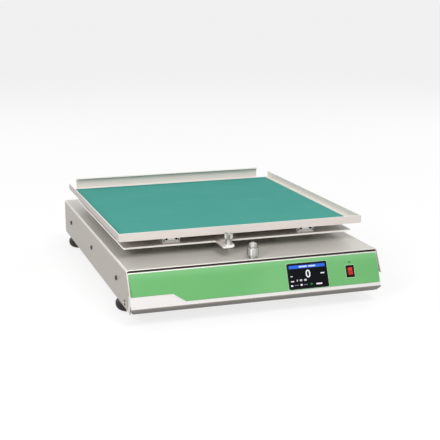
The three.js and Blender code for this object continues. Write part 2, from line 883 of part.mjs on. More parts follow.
function pulley(radius, bore, y) {
  const rim = radius + pulleyRim;
  return turned([
    [bore, pulleyBottom],
    [rim, pulleyBottom],
    [rim, pulleyBottom + pulleyRimHeight],
    [radius, pulleyBottom + pulleyRimHeight],
    [radius, pulleyTop - pulleyRimHeight],
    [rim, pulleyTop - pulleyRimHeight],
    [rim, pulleyTop],
    [bore, pulleyTop],
    [bore, pulleyBottom],
  ], 0, y);
}

// The belt's outline round both pulleys, at a distance outside their faces.
function beltOutline(out) {
  const large = crankPulleyRadius + out;
  const small = motorPulleyRadius + out;
  const contact = Math.acos((large - small) / motorDistance);
  const round = arc(large, 0, crankY, contact, 2 * Math.PI - contact);
  return [...round, ...arc(small, 0, motorY, -contact, contact)];
}

function driveBelt() {
  const bottom = pulleyBottom + pulleyRimHeight + fit;
  const top = pulleyTop - pulleyRimHeight - fit;
  return uprightSolid(beltOutline(fit + beltThickness), bottom, top, [beltOutline(fit)]);
}

function driveMotor() {
  const half = motorSize / 2;
  const outline = rounded(rectangle(-half, half, motorY - half, motorY + half), motorCorner, true);
  const body = uprightSolid(outline, motorFace, motorFace + motorHeight);
  return body.add(rod(motorPilot, motorFace - motorPilotHeight, motorFace + overrun, 0, motorY, roundSides));
}

function motorShaftRod() {
  return rod(motorShaft, pulleyBottom - overrun, motorFace - motorPilotHeight - fit, 0, motorY);
}

// A bent strip that hangs from the deck and carries the motor on its floor, shaft down.
function motorBracket() {
  const inner = motorSize / 2 + bracketSide;
  const path = [
    [-bracketHalf, deckUnder],
    [-inner, deckUnder],
    [-inner, motorFace],
    [inner, motorFace],
    [inner, deckUnder],
    [bracketHalf, deckUnder],
  ];
  const y0 = motorY - motorSize / 2;
  const strip = lengthwiseSolid(sheetOutline(path, bracketThickness), y0, y0 + motorSize);
  const z0 = motorFace - bracketThickness - overrun;
  return strip.subtract(rod(motorPilot + fit, z0, motorFace + overrun, 0, motorY, roundSides));
}

function powerSupply() {
  const x0 = supplyX - supplyWidth / 2;
  const y0 = rearFace - inletBodyDepth - supplyGap - supplyDepth;
  const body = block(x0, x0 + supplyWidth, y0, y0 + supplyDepth, panFloor, panFloor + supplyHeight);
  const step = block(
    x0 - overrun, x0 + supplyWidth + overrun, y0 - overrun, y0 + supplyStepDepth,
    panFloor + supplyStepHeight, panFloor + supplyHeight + overrun,
  );
  return body.subtract(step);
}

const boardBottom = panFloor + boardLift;
const boardCorners = [-1, 1].flatMap((side) => [-1, 1].map((end) => [
  boardX + side * (boardWidth / 2 - boardInset),
  deckFront + boardFront + boardDepth / 2 + end * (boardDepth / 2 - boardInset),
]));

function controlBoard() {
  const x0 = boardX - boardWidth / 2;
  const y0 = deckFront + boardFront;
  const top = boardBottom + boardThickness;
  const board = block(x0, x0 + boardWidth, y0, y0 + boardDepth, boardBottom, top);
  const parts = [-1, 0, 1].map((place) => {
    const x = boardX + place * (boardPartWidth + boardInset) - boardPartWidth / 2;
    const y = y0 + (boardDepth - boardPartDepth) / 2;
    const foot = top - boardThickness / 2;
    return block(x, x + boardPartWidth, y, y + boardPartDepth, foot, top + boardPartHeight);
  });
  return board.add(union(parts));
}

// The inlet faces the rear, with a socket that a mains lead's connector goes into.
const rearFace = deckRear - rearInset;
const inletZ = caseBottom + inletHeight;
const socketFloor = rearFace + inletFlange - inletSocketDepth;

function powerInlet() {
  const centred = (width, height, y0, y1, x = inletX, z = inletZ) => block(
    x - width / 2, x + width / 2, y0, y1, z - height / 2, z + height / 2,
  );
  const front = rearFace + inletFlange;
  const flange = centred(inletWidth, inletTall, rearFace, front);
  const body = centred(inletBody, inletBodyHeight, rearFace - inletBodyDepth, front);
  const socket = centred(inletSocketWidth, inletSocketHeight, socketFloor, front + overrun);
  const pins = [-1, 0, 1].map((place) => {
    const z = inletZ + (place ? -inletPinRise : inletPinRise) / 2;
    const x = inletX + place * inletPinSpacing;
    const tip = socketFloor + inletPinLength;
    return centred(inletPinThickness, inletPinWidth, socketFloor - overrun, tip, x, z);
  });
  return flange.add(body).subtract(socket).add(union(pins));
}

// The pieces from here to the rocker lie on the slope, and are made in its own axes: X to the right,
// Y up the slope and Z out of it.
function slopeRectangle(x, drop, width, height) {
  return rectangle(x - width / 2, x + width / 2, -drop - height / 2, -drop + height / 2);
}

function frontFacing() {
  const half = innerHalf - fit - facingSide;
  const outline = rounded([
    [-half, -facingTop],
    [-half, -facingStep],
    [facingStepInset - caseWidth / 2, -facingStep],
    [facingStepInset + facingStepRun - caseWidth / 2, -facingBottom],
    [half, -facingBottom],
    [half, -facingTop],
  ], facingCorner, false);
  const holes = [
    slopeRectangle(displayX, displayDrop, displayWidth + 2 * slip, displayHeight + 2 * slip),
    slopeRectangle(switchX, switchDrop, switchWidth + 2 * slip, switchHeight + 2 * slip),
  ];
  return uprightSolid(outline, fit, fit + facingThickness, holes);
}

const glassFront = fit + displayProud - glassRecess;

function displayHousing() {
  const border = 2 * displayBorder;
  const flange = uprightSolid(
    slopeRectangle(displayX, displayDrop, displayWidth, displayHeight), fit, fit + displayProud,
  );
  const lip = 2 * (displayLip + slip);
  const body = uprightSolid(
    slopeRectangle(displayX, displayDrop, displayWidth - lip, displayHeight - lip),
    -displayDepth, fit + overrun,
  );
  const seat = uprightSolid(
    slopeRectangle(displayX, displayDrop, displayWidth - border, displayHeight - border),
    glassFront - glassThickness - fit, fit + displayProud + overrun,
  );
  return flange.add(body).subtract(seat);
}

function displayWindow() {
  const border = 2 * (displayBorder + fit);
  const outline = slopeRectangle(displayX, displayDrop, displayWidth - border, displayHeight - border);
  return uprightSolid(outline, glassFront - glassThickness, glassFront);
}

const rockerPivot = fit + switchProud - rockerPivotDepth;
const rockerReach = Math.hypot(rockerHeight / 2, Math.max(rockerEndRise, rockerEndDrop));

function powerSwitch() {
  const flange = uprightSolid(
    slopeRectangle(switchX, switchDrop, switchWidth, switchHeight), fit, fit + switchProud,
  );
  const lip = 2 * (switchLip + fit);
  const body = uprightSolid(
    slopeRectangle(switchX, switchDrop, switchWidth - lip, switchHeight - lip), -switchDepth, fit + overrun,
  );
  const floor = rockerPivot - rockerWaistDrop - Math.sin(rockerAngle) * rockerReach;
  const well = uprightSolid(
    slopeRectangle(switchX, switchDrop, rockerWidth + 2 * fit, 2 * (rockerReach + fit)),
    floor, fit + switchProud + overrun,
  );
  return flange.add(body).subtract(well);
}

// The rocker rests with its upper end pressed in, which is off.
function switchRocker() {
  const half = rockerHeight / 2;
  const outline = [
    [-half, -rockerEndDrop],
    [0, -rockerWaistDrop],
    [half, -rockerEndDrop],
    [half, rockerEndRise],
    [0, rockerWaistRise],
    [-half, rockerEndRise],
  ];
  const turn = new THREE.Matrix4().set(0, 0, 1, -rockerWidth / 2, 1, 0, 0, 0, 0, 1, 0, 0, 0, 0, 0, 1);
  const bar = extruded(outline, rockerWidth).applyMatrix4(turn).rotateX(-rockerAngle);
  return solidOf(bar.translate(switchX, -switchDrop, rockerPivot));
}

add('base_pan', basePan(), paint);
add('top_cover', topCover(), paint);
add('front_panel', frontPanel(), silver);
add('rear_panel', rearPanel(), paint);
add('crossbar_front', crossbar(crossRailStations[0]), steel);
add('crossbar_rear', crossbar(crossRailStations[1]), steel);
['front', 'middle', 'rear'].forEach((place, i) => {
  add(`cover_screw_left_${place}`, coverScrew(-1, wallScrewStations[i]), steel);
  add(`cover_screw_right_${place}`, coverScrew(1, wallScrewStations[i]), steel);
});
['front_left', 'front_right', 'rear_left', 'rear_right'].forEach((place, i) => {
  add(`foot_${place}`, foot(...footPlaces[i]), black);
});

add('front_facing', frontFacing(), green, slope);
add('display_housing', displayHousing(), black, slope);
add('display_window', displayWindow(), black, slope);
add('power_switch', powerSwitch(), black, slope);
add('switch_rocker', switchRocker(), red, slope);
add('power_inlet', powerInlet(), black);

add('cross_rail_front', crossRail(crossRailStations[0]), steel);
add('cross_rail_rear', crossRail(crossRailStations[1]), steel);
['front', 'rear'].forEach((end, i) => {
  add(`cross_block_${end}_left`, crossBlock(-crossBlockX, crossRailStations[i]), steel);
  add(`cross_block_${end}_right`, crossBlock(crossBlockX, crossRailStations[i]), steel);
});
add('carriage_plate', carriagePlate(), silver);
add('lock_bar', lockBar(), silver);
add('lock_screw', lockScrew(), chrome);
add('lock_post', lockPost(), chrome);

const sideBlockStations = [
  plateY + sideBlockInset + blockLength / 2,
  plateY + plateDepth - sideBlockInset - blockLength / 2,
];
['left', 'right'].forEach((side, i) => {
  const x = i ? sideGuideX : -sideGuideX;
  add(`side_block_${side}_front`, sideBlock(x, sideBlockStations[0]), steel);
  add(`side_block_${side}_rear`, sideBlock(x, sideBlockStations[1]), steel);
  add(`side_rail_${side}`, sideRail(x), steel);
});
add('tray', tray(), paint);
add('tray_mat', mat(), teal);
add('tray_back_rail', backRail(), paint);
add('tray_hub', trayHub(), steel);

const bearingGap = shaftBearingHeight + slip;
add('bearing_housing', bearingHousing(), steel);
add('shaft_bearing_upper', shaftBearing(deckUnder - bearingGap), chrome);
add('shaft_bearing_lower', shaftBearing(housingBottom + slip), chrome);
add('crank_shaft', crankShaft(), steel);
add('crank_disc', crankDisc(), steel);
add('counterweight', counterweight(), steel);
add('crank_pin', crankPin(), chrome);
add('pin_bearing', ring(pinRadius + fit, pinBearingOuter, pinBearingBottom, pinTop, 0, pinY), chrome);
add('crank_pulley', pulley(crankPulleyRadius, shaftRadius + fit, crankY), steel);
add('motor_pulley', pulley(motorPulleyRadius, motorShaft + fit, motorY), steel);
add('drive_belt', driveBelt(), black);
add('drive_motor', driveMotor(), black);
add('motor_shaft', motorShaftRod(), steel);
add('motor_bracket', motorBracket(), steel);
add('power_supply', powerSupply(), steel);
add('control_board', controlBoard(), circuit);

export default shaker;
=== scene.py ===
"""A low laboratory shaker: a sheet metal case with a sloping green panel, and a rimmed tray on two
crossed slides above it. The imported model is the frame, in metres, and each piece is finished where it
lies."""

import json
import math

import bmesh
import bpy
from mathutils import Matrix, Vector

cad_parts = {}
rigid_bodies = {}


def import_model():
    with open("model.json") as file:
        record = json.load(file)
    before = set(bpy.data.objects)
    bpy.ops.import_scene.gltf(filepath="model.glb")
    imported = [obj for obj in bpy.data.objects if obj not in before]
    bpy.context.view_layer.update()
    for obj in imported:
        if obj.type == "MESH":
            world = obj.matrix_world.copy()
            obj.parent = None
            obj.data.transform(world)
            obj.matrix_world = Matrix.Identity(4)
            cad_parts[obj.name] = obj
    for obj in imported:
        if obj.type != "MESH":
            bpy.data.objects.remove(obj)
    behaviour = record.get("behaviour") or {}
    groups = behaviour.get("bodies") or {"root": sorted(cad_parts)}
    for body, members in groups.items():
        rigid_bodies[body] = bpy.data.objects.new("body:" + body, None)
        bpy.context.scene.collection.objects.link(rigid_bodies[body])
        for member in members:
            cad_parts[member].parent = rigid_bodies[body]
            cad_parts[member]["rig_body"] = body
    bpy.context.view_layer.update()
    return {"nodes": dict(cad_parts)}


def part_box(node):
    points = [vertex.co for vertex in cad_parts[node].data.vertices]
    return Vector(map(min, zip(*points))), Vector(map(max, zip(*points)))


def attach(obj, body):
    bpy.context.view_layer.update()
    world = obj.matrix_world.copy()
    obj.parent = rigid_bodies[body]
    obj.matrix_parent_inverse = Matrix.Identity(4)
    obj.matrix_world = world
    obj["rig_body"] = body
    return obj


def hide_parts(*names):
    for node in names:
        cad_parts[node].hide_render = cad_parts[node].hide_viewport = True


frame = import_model()

# The camera: a long lens, left of the middle and a little above the tray.
# Angles are in degrees, and places in metres from the middle of the footprint.
camera_yaw, camera_pitch, camera_roll = -17.762, 12.883, -0.313
camera_place = Vector((-0.58131, -1.90166, 0.55373))
camera_lens = 84.967

camera_data = bpy.data.cameras.new("camera")
camera_data.lens = camera_lens
camera_data.sensor_width = 36
camera_data.clip_end = 200
camera = bpy.data.objects.new("camera", camera_data)
turn = Matrix.Rotation(math.radians(camera_yaw), 4, "Z")
tilt = Matrix.Rotation(math.radians(90 - camera_pitch), 4, "X")
roll = Matrix.Rotation(math.radians(camera_roll), 4, "Z")
camera.matrix_world = Matrix.Translation(camera_place) @ turn @ tilt @ roll
bpy.context.scene.collection.objects.link(camera)
bpy.context.scene.camera = camera
bpy.context.scene.view_settings.view_transform = "Standard"


# The studio: a pale floor, a white surround that lights softly, and four large lamps round the shaker.
# Camera, mirror and glass rays see the surround and the floor white, and the floor keeps the shadow.
floor_side = 160
floor_rough = 0.9
floor_shine = 0.1
floor_tone = 0.93
floor_bounce = 0.4
floor_lift = 0.78
ambient = 0.42
# Each lamp's bearing from the front and its height in degrees, its distance and width in metres, and
# its power in watts
lamps = {
    "front_left": (-45, 28, 3.2, 1.2, 49),
    "front_right": (11, 56, 3.2, 1.1, 38),
    "rear_right": (120, 35, 3.2, 1.6, 18),
    "rear_left": (-150, 35, 3.2, 1.6, 18),
}


def seen_directly(nodes, links):
    """One where a camera, mirror or glass ray looks, and nought where light is gathered."""
    path = nodes.new("ShaderNodeLightPath")
    seen = path.outputs["Is Camera Ray"]
    for other in ("Is Glossy Ray", "Is Transmission Ray"):
        either = nodes.new("ShaderNodeMath")
        either.operation = "MAXIMUM"
        links.new(seen, either.inputs[0])
        links.new(path.outputs[other], either.inputs[1])
        seen = either.outputs[0]
    return seen


def light_surround():
    """The world: white where it is seen, and a soft light from all sides."""
    world = bpy.data.worlds.new("surround")
    bpy.context.scene.world = world
    world.use_nodes = True
    nodes = world.node_tree.nodes
    links = world.node_tree.links
    backdrop = nodes["Background"]
    backdrop.inputs["Color"].default_value = (1, 1, 1, 1)
    strength = nodes.new("ShaderNodeMapRange")
    strength.inputs["To Min"].default_value = ambient
    links.new(seen_directly(nodes, links), strength.inputs["Value"])
    links.new(strength.outputs["Result"], backdrop.inputs["Strength"])


def hang_lamps():
    """Round lamps, each aimed at the middle of the shaker's footprint."""
    for name, (bearing, height, distance, width, power) in lamps.items():
        across = math.radians(bearing)
        rise = math.radians(height)
        level = math.cos(rise)
        aim = Vector((math.sin(across) * level, -math.cos(across) * level, math.sin(rise)))
        data = bpy.data.lights.new(name, "AREA")
        data.shape = "DISK"
        data.size = width
        data.energy = power
        lamp = bpy.data.objects.new(name, data)
        lamp.location = aim * distance
        lamp.rotation_mode = "QUATERNION"
        lamp.rotation_quaternion = (-aim).to_track_quat("-Z", "Y")
        bpy.context.scene.collection.objects.link(lamp)


def lay_floor():
    """One large sheet of paper. It glows a little where it is seen, so that it meets the surround."""
    form = bmesh.new()
    bmesh.ops.create_grid(form, x_segments=1, y_segments=1, size=floor_side / 2)
    mesh = bpy.data.meshes.new("floor")
    form.to_mesh(mesh)
    form.free()
    floor = bpy.data.objects.new("floor", mesh)
    bpy.context.scene.collection.objects.link(floor)
    paper = bpy.data.materials.new("floor_paper")
    paper.use_nodes = True
    nodes = paper.node_tree.nodes
    links = paper.node_tree.links
    shader = nodes["Principled BSDF"]
    shader.inputs["Roughness"].default_value = floor_rough
    shader.inputs["Specular IOR Level"].default_value = floor_shine
    seen = seen_directly(nodes, links)
    tone = nodes.new("ShaderNodeMix")
    tone.data_type = "RGBA"
    tone.inputs["A"].default_value = (floor_bounce, floor_bounce, floor_bounce, 1)
    tone.inputs["B"].default_value = (floor_tone, floor_tone, floor_tone, 1)
    links.new(seen, tone.inputs["Factor"])
    links.new(tone.outputs["Result"], shader.inputs["Base Color"])
    share = nodes.new("ShaderNodeMath")
    share.operation = "MULTIPLY"
    share.inputs[1].default_value = floor_lift
    links.new(seen, share.inputs[0])
    white = nodes.new("ShaderNodeEmission")
    mix = nodes.new("ShaderNodeMixShader")
    links.new(share.outputs[0], mix.inputs["Fac"])
    links.new(shader.outputs[0], mix.inputs[1])
    links.new(white.outputs[0], mix.inputs[2])
    links.new(mix.outputs[0], nodes["Material Output"].inputs["Surface"])
    mesh.materials.append(paper)


light_surround()
hang_lamps()
lay_floor()


# Base pan: folded from sheet steel, it closes the case from below, and its lower bends show as a
# lip under the side walls. Its sides, bends and eased edges take a brighter, more mirror-like copy of
# its steel, a painted highlight. Its stand-offs are pressed in, and the cover's screws go into its side
# walls.
pan_tint = (214, 207, 200)
# The lip's tint is brighter than the pan's: a painted highlight on its sides, bends and eased edges.
lip_highlight_tint = (250, 244, 240)
sheet_ease = 0.0003
lip_slope = 0.3
lip_turn = 0.15
sharp_angle = 32
flat_angle = 0.5
joined_gap = 0.000005
gloss_spread = 0.2


def colour(red, green, blue):
    """A colour as it looks on screen, 0 to 255, in the renderer's linear terms."""
    shares = [c / 255 for c in (red, green, blue)]
    return [((c + 0.055) / 1.055) ** 2.4 if c > 0.04 else c / 12.92 for c in shares] + [1]


def cloudy(nodes, links, where, size, detail):
    """A noise whose clouds are about that size in metres."""
    noise = nodes.new("ShaderNodeTexNoise")
    noise.inputs["Scale"].default_value = 1 / size
    noise.inputs["Detail"].default_value = detail
    links.new(where, noise.inputs["Vector"])
    return noise


def surface(
    name, tint, rough, metal=0.0, shine=0.3, grain=0.0006, run=(1, 1, 1), relief=0.1,
    mottle=0.03, patch=0.03,
):
    """A finish with fine grain in its relief and gloss, and slow patches in its tone. Grain and patch
    are sizes in metres, and run stretches the grain along an axis, as brushing does."""
    material = bpy.data.materials.new(name)
    material.use_nodes = True
    nodes = material.node_tree.nodes
    links = material.node_tree.links
    shader = nodes["Principled BSDF"]
    shader.inputs["Metallic"].default_value = metal
    shader.inputs["Specular IOR Level"].default_value = shine
    place = nodes.new("ShaderNodeTexCoord")
    stretch = nodes.new("ShaderNodeMapping")
    stretch.inputs["Scale"].default_value = [1 / r for r in run]
    links.new(place.outputs["Object"], stretch.inputs["Vector"])
    fine = cloudy(nodes, links, stretch.outputs["Vector"], grain, 4)
    slow = cloudy(nodes, links, place.outputs["Object"], patch, 3)
    tone = nodes.new("ShaderNodeMix")
    tone.name = "tone"
    tone.data_type = "RGBA"
    base = colour(*tint)
    tone.inputs["A"].default_value = [c * (1 - mottle) for c in base[:3]] + [1]
    tone.inputs["B"].default_value = [min(1, c * (1 + mottle)) for c in base[:3]] + [1]
    links.new(slow.outputs["Fac"], tone.inputs["Factor"])
    links.new(tone.outputs["Result"], shader.inputs["Base Color"])
    gloss = nodes.new("ShaderNodeMapRange")
    gloss.inputs["To Min"].default_value = rough * (1 - gloss_spread)
    gloss.inputs["To Max"].default_value = min(1, rough * (1 + gloss_spread))
    links.new(fine.outputs["Fac"], gloss.inputs["Value"])
    links.new(gloss.outputs["Result"], shader.inputs["Roughness"])
    bump = nodes.new("ShaderNodeBump")
    bump.inputs["Strength"].default_value = relief
    bump.inputs["Distance"].default_value = grain
    links.new(fine.outputs["Fac"], bump.inputs["Height"])
    links.new(bump.outputs["Normal"], shader.inputs["Normal"])
    return material


def finish_piece(name, form, body, materials, nodes=()):
    """Makes the bmesh a piece on that body, in place of those nodes. Its rounds are smooth and its edges
    crisp."""
    mesh = bpy.data.meshes.new(name)
    form.to_mesh(mesh)
    form.free()
    for material in materials:
        mesh.materials.append(material)
    mesh.shade_smooth()
    mesh.set_sharp_from_angle(angle=math.radians(sharp_angle))
    piece = bpy.data.objects.new(name, mesh)
    bpy.context.scene.collection.objects.link(piece)
    weighted = piece.modifiers.new("even_faces", "WEIGHTED_NORMAL")
    weighted.keep_sharp = True
    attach(piece, body)
    if nodes:
        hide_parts(*nodes)


def merged(node):
    """A bmesh copy of a CAD node, its loose triangles joined and its flat faces made whole."""
    form = bmesh.new()
    form.from_mesh(frame["nodes"][node].data)
    bmesh.ops.remove_doubles(form, verts=form.verts, dist=joined_gap)
    bmesh.ops.dissolve_limit(
        form, angle_limit=math.radians(flat_angle), verts=form.verts, edges=form.edges,
    )
    return form


def eased(form, width, least_angle=40, new_face=-1):
    """Breaks the sharp edges of a bmesh, as a file or a bend does. Width is in metres, and the new faces
    take that material, or with -1 their neighbours'."""
    least = math.radians(least_angle)
    corners = [edge for edge in form.edges if edge.is_manifold and edge.calc_face_angle(0) > least]
    bmesh.ops.bevel(
        form, geom=corners, offset=width, offset_type="OFFSET", affect="EDGES", segments=2,
        profile=0.5, material=new_face, clamp_overlap=True,
    )
    return form


def dressed(node, width, materials, least_angle=40, pick=None):
    """A CAD node's own form with eased edges, riding where the node rides. The eased edges take the last
    material, and pick gives a face the number of its material, or 0 to leave it."""
    form = eased(merged(node), width, least_angle, new_face=len(materials) - 1)
    for face in form.faces:
        part = pick(face) if pick else 0
        if part:
            face.material_index = part
    finish_piece(node + "_finished", form, frame["nodes"][node]["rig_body"], materials, [node])


def give(material, *nodes):
    """Finishes CAD nodes that stay as they are."""
    for node in nodes:
        slots = frame["nodes"][node].data.materials
        slots.clear()
        slots.append(material)


def pan_part(face):
    """The sides and the lower bends that show as a lip take the second material, a brighter tint that
    paints their highlight.
    """
    return int(face.normal.z < lip_slope and abs(face.normal.x) > lip_turn)


pan_steel = surface("pan_steel", pan_tint, 0.4, metal=0.2, grain=0.0005, run=(1, 12, 1), relief=0.05)
lip_highlight_steel = surface("lip_highlight_steel", lip_highlight_tint, 0.3, metal=0.8, grain=0.0004, run=(1, 12, 1), relief=0.04)
dressed("base_pan", sheet_ease, [pan_steel, lip_highlight_steel], pick=pan_part)


# Four domed rubber feet, each moulded round the head of its stud.
# A parting line runs round the widest part, and the underside has a shallow ring that grips.
foot_black = (38, 37, 36)
foot_fillet = 0.012
foot_shoulder = 0.006
foot_line_depth = 0.0004
foot_line_height = 0.013
foot_ring = (0.006, 0.0085)
foot_ring_depth = 0.0006
stud_radius = 0.003
round_steps = 64
turned_gap = 0.000002


def spun(profile, x, y, steps=round_steps):
    """A turned piece about an upright axis, from its [radius, height] profile, bottom to top."""
    form = bmesh.new()
    points = [form.verts.new((x + r, y, z)) for r, z in profile]
    edges = [form.edges.new(pair) for pair in zip(points, points[1:])]
    bmesh.ops.spin(
        form, geom=points + edges, cent=(x, y, 0), axis=(0, 0, 1), angle=2 * math.pi, steps=steps,
        use_merge=True,
    )
    bmesh.ops.remove_doubles(form, verts=form.verts, dist=turned_gap)
    bmesh.ops.recalc_face_normals(form, faces=form.faces)
    return form


def arc_profile(radius, centre_r, centre_z, start, end, steps=8):
    """Points of an arc in a turned profile. Angles are in degrees, nought along the radius."""
    points = []
    for i in range(steps + 1):
        angle = math.radians(start + (end - start) * i / steps)
        points.append((centre_r + radius * math.cos(angle), centre_z + radius * math.sin(angle)))
    return points


def make_feet():
    """The four feet, each as wide as the plain one that it replaces."""
    rubber = surface(
        "foot_rubber", foot_black, 0.55, grain=0.0008, relief=0.25, mottle=0.12, patch=0.012,
    )
    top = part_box("base_pan")[0].z
    inner, outer = foot_ring
    line = foot_line_height
    for place in ("front_left", "front_right", "rear_left", "rear_right"):
        node = "foot_" + place
        low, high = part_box(node)
        radius = (high.x - low.x) / 2
        profile = [
            (0, 0),
            (inner, 0),
            (inner + foot_ring_depth, foot_ring_depth),
            (outer, foot_ring_depth),
            (outer + foot_ring_depth, 0),
            *arc_profile(foot_fillet, radius - foot_fillet, foot_fillet, -90, 0),
            (radius, line - foot_line_depth),
            (radius - foot_line_depth, line),
            (radius, line + foot_line_depth),
            *arc_profile(foot_shoulder, radius - foot_shoulder, top - foot_shoulder, 0, 90, 6),
            (stud_radius, top),
            (stud_radius, high.z),
            (0, high.z),
        ]
        form = spun(profile, (low.x + high.x) / 2, (low.y + high.y) / 2)
        finish_piece(node + "_finished", form, "case", [rubber], [node])


make_feet()


# Rear panel: a powder-coated steel plate between the cover's walls, with nine vent slots.
# The mains inlet is a black moulding that snaps into its cut-out, with three plated blades.
wall_tint = (196, 190, 184)
inlet_black = (34, 34, 36)
blade_size = Vector((0.0021, 0.0101, 0.0041))
blade_pitch = 0.007
blade_rise = 0.0015
blade_base = 0.0139
blade_tint = (205, 205, 200)
wall_paint = surface("wall_powder_coat", wall_tint, 0.42, grain=0.0005, relief=0.1, patch=0.08)
black_moulding = surface("black_moulding", inlet_black, 0.45, grain=0.0004, relief=0.18, mottle=0.08)
plated = surface("plated_blade", blade_tint, 0.25, metal=1.0, grain=0.0003, run=(1, 12, 1))
dressed("rear_panel", sheet_ease, [wall_paint])
dressed("power_inlet", sheet_ease, [black_moulding])


def box_form(low, high, ease):
    """A block between two corners with eased edges."""
    form = bmesh.new()
    bmesh.ops.create_cube(form, size=1)
    bmesh.ops.scale(form, vec=high - low, verts=form.verts)
    bmesh.ops.translate(form, vec=(low + high) / 2, verts=form.verts)
    return eased(form, ease)


def make_inlet_blades():
    """Three flat blades in the socket, of which the middle one stands higher."""
    low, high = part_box("power_inlet")
    centre = (low + high) / 2
    for name, side in (("left", -1), ("middle", 0), ("right", 1)):
        rise = -blade_rise if side else blade_rise
        corner = Vector((centre.x + side * blade_pitch, high.y - blade_base, centre.z + rise))
        corner -= Vector((blade_size.x / 2, 0, blade_size.z / 2))
        form = box_form(corner, corner + blade_size, sheet_ease)
        finish_piece("inlet_blade_" + name, form, "case", [plated])


make_inlet_blades()


# Power supply, control board, crossbars and motor bracket: inside the case, where nobody looks.
# The supply's cage, the folded bars and the bracket are zinc plated steel, screwed to the pan and the
# deck, and the board has a green resist over its tracks.
zinc_tint = (168, 170, 172)
resist_tint = (30, 96, 58)
zinc = surface("zinc_plate", zinc_tint, 0.35, metal=0.8, relief=0.05, mottle=0.12, patch=0.01)
resist = surface("solder_resist", resist_tint, 0.3, grain=0.001, mottle=0.1, patch=0.004)
give(zinc, "power_supply", "crossbar_front", "crossbar_rear", "motor_bracket")
give(resist, "control_board")


# Drive: a motor hangs from its bracket with the shaft down, and a belt turns the crank's large pulley.
# The shaft runs in two bearings in a turned housing that is bolted under the deck.
ground_tint = (176, 178, 180)
stoved_tint = (38, 38, 40)
belt_tint = (28, 28, 28)
ground = surface("ground_steel", ground_tint, 0.28, metal=1.0, grain=0.0004, relief=0.05, mottle=0.05)
stoved = surface("stoved_black", stoved_tint, 0.4, relief=0.15, mottle=0.1)
belt_rubber = surface("belt_rubber", belt_tint, 0.7, relief=0.3, mottle=0.1)
give(ground, "bearing_housing", "shaft_bearing_upper", "shaft_bearing_lower", "crank_shaft")
give(ground, "crank_pulley", "motor_pulley", "motor_shaft")
give(stoved, "drive_motor")
give(belt_rubber, "drive_belt")


# Top cover: one sheet, folded down at both sides, that makes the deck and the side walls.
# It is stainless steel with a fine satin grain. Its side walls take a darker tint that paints their
# shade, and its bends and eased edges a lighter one, a painted highlight.
cover_tint = (197, 194, 187)
# The walls' darker tint paints their shade, and the bends' lighter tint their highlight.
wall_shade_tint = (172, 163, 155)
bend_highlight_tint = (214, 208, 201)
cover_ease = 0.0004
bend_normals = (0.2, 0.97)
wall_normal = 0.97
wall_area = 0.001


def satin(name, tint, rough=0.36):
    """Satin stainless sheet, with the grain of its brushing along the shaker."""
    return surface(
        name, tint, rough, metal=0.25, grain=0.0005, run=(1, 14, 1), relief=0.04, mottle=0.025,
        patch=0.09,
    )


cover_satin = satin("cover_satin", cover_tint)
side_shade_satin = satin("side_shade_satin", wall_shade_tint)
cover_bend_highlight = satin("cover_bend_highlight", bend_highlight_tint, 0.28)


def cover_part(face):
    """The side walls take the second material, a darker tint that paints their shade, and the long
    bends the third, a lighter one that paints their highlight.
    """
    if bend_normals[0] < face.normal.z < bend_normals[1]:
        return 2
    return int(abs(face.normal.x) > wall_normal and face.calc_area() > wall_area)


cover_finishes = [cover_satin, side_shade_satin, cover_bend_highlight]
dressed("top_cover", cover_ease, cover_finishes, pick=cover_part)


# Cover screws: dark steel button heads with a socket, three along each side wall, and two small ones
# that hold the front panel's flap near the nose. They go through the cover into the pan.
socket_across = 0.0042
socket_depth = 0.0016
socket_slack = 1.01
head_rim = 0.0008
# The crown of a head above its rim, as shares of its radius and its height
head_crown = ((0.94, 0.6), (0.8, 0.85), (0.62, 1))
head_steps = 24
flap_screw_radius = 0.0019
flap_screw_height = 0.0011
flap_screw_y = -0.2716
flap_screw_levels = (0.0365, 0.0305)
screw_tint = (74, 70, 66)
# The sockets' near black paints the shade inside them.
socket_shade_tint = (10, 10, 10)
screw_steel = surface("screw_steel", screw_tint, 0.25, metal=0.8, grain=0.0004, mottle=0.1)
socket_shade = surface("socket_shadow", socket_shade_tint, 0.6, shine=0.1, grain=0.0005, mottle=0.1)


def button_head(radius, height, across, depth):
    """A button head along +Z from the origin, with a round socket that takes the second material, a
    near black that paints the shade in it.
    """
    rings = [
        (radius, 0),
        (radius, head_rim),
        *((radius * out, height * up) for out, up in head_crown),
        (across / 2, height),
        (across / 2, height - depth),
        (0, height - depth),
    ]
    form = spun(rings, 0, 0, head_steps)
    for face in form.faces:
        if face.calc_center_median().xy.length < across / 2 * socket_slack:
            face.material_index = 1
    return form


def set_screw(name, form, side, face_x, y, z, nodes=()):
    """Turns a head to point out of a side wall, and puts it there."""
    outward = Matrix.Rotation(side * math.pi / 2, 4, "Y")
    bmesh.ops.transform(form, matrix=Matrix.Translation((face_x, y, z)) @ outward, verts=form.verts)
    finish_piece(name, form, "case", [screw_steel, socket_shade], nodes)


def make_cover_screws():
    """The three heads along each side wall, in place of the plain ones, and the two on each flap."""
    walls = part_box("top_cover")
    for side, name in ((-1, "left"), (1, "right")):
        face_x = walls[0].x if side < 0 else walls[1].x
        for place in ("front", "middle", "rear"):
            node = f"cover_screw_{name}_{place}"
            low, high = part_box(node)
            radius = (high.z - low.z) / 2
            height = abs((low.x if side < 0 else high.x) - face_x)
            form = button_head(radius, height, socket_across, socket_depth)
            centre = (low + high) / 2
            set_screw(node + "_finished", form, side, face_x, centre.y, centre.z, [node])
        for i, level in enumerate(flap_screw_levels):
            radius = flap_screw_radius
            form = button_head(radius, flap_screw_height, radius, flap_screw_height / 2)
            set_screw(f"flap_screw_{name}_{i}", form, side, face_x, flap_screw_y, level)


make_cover_screws()


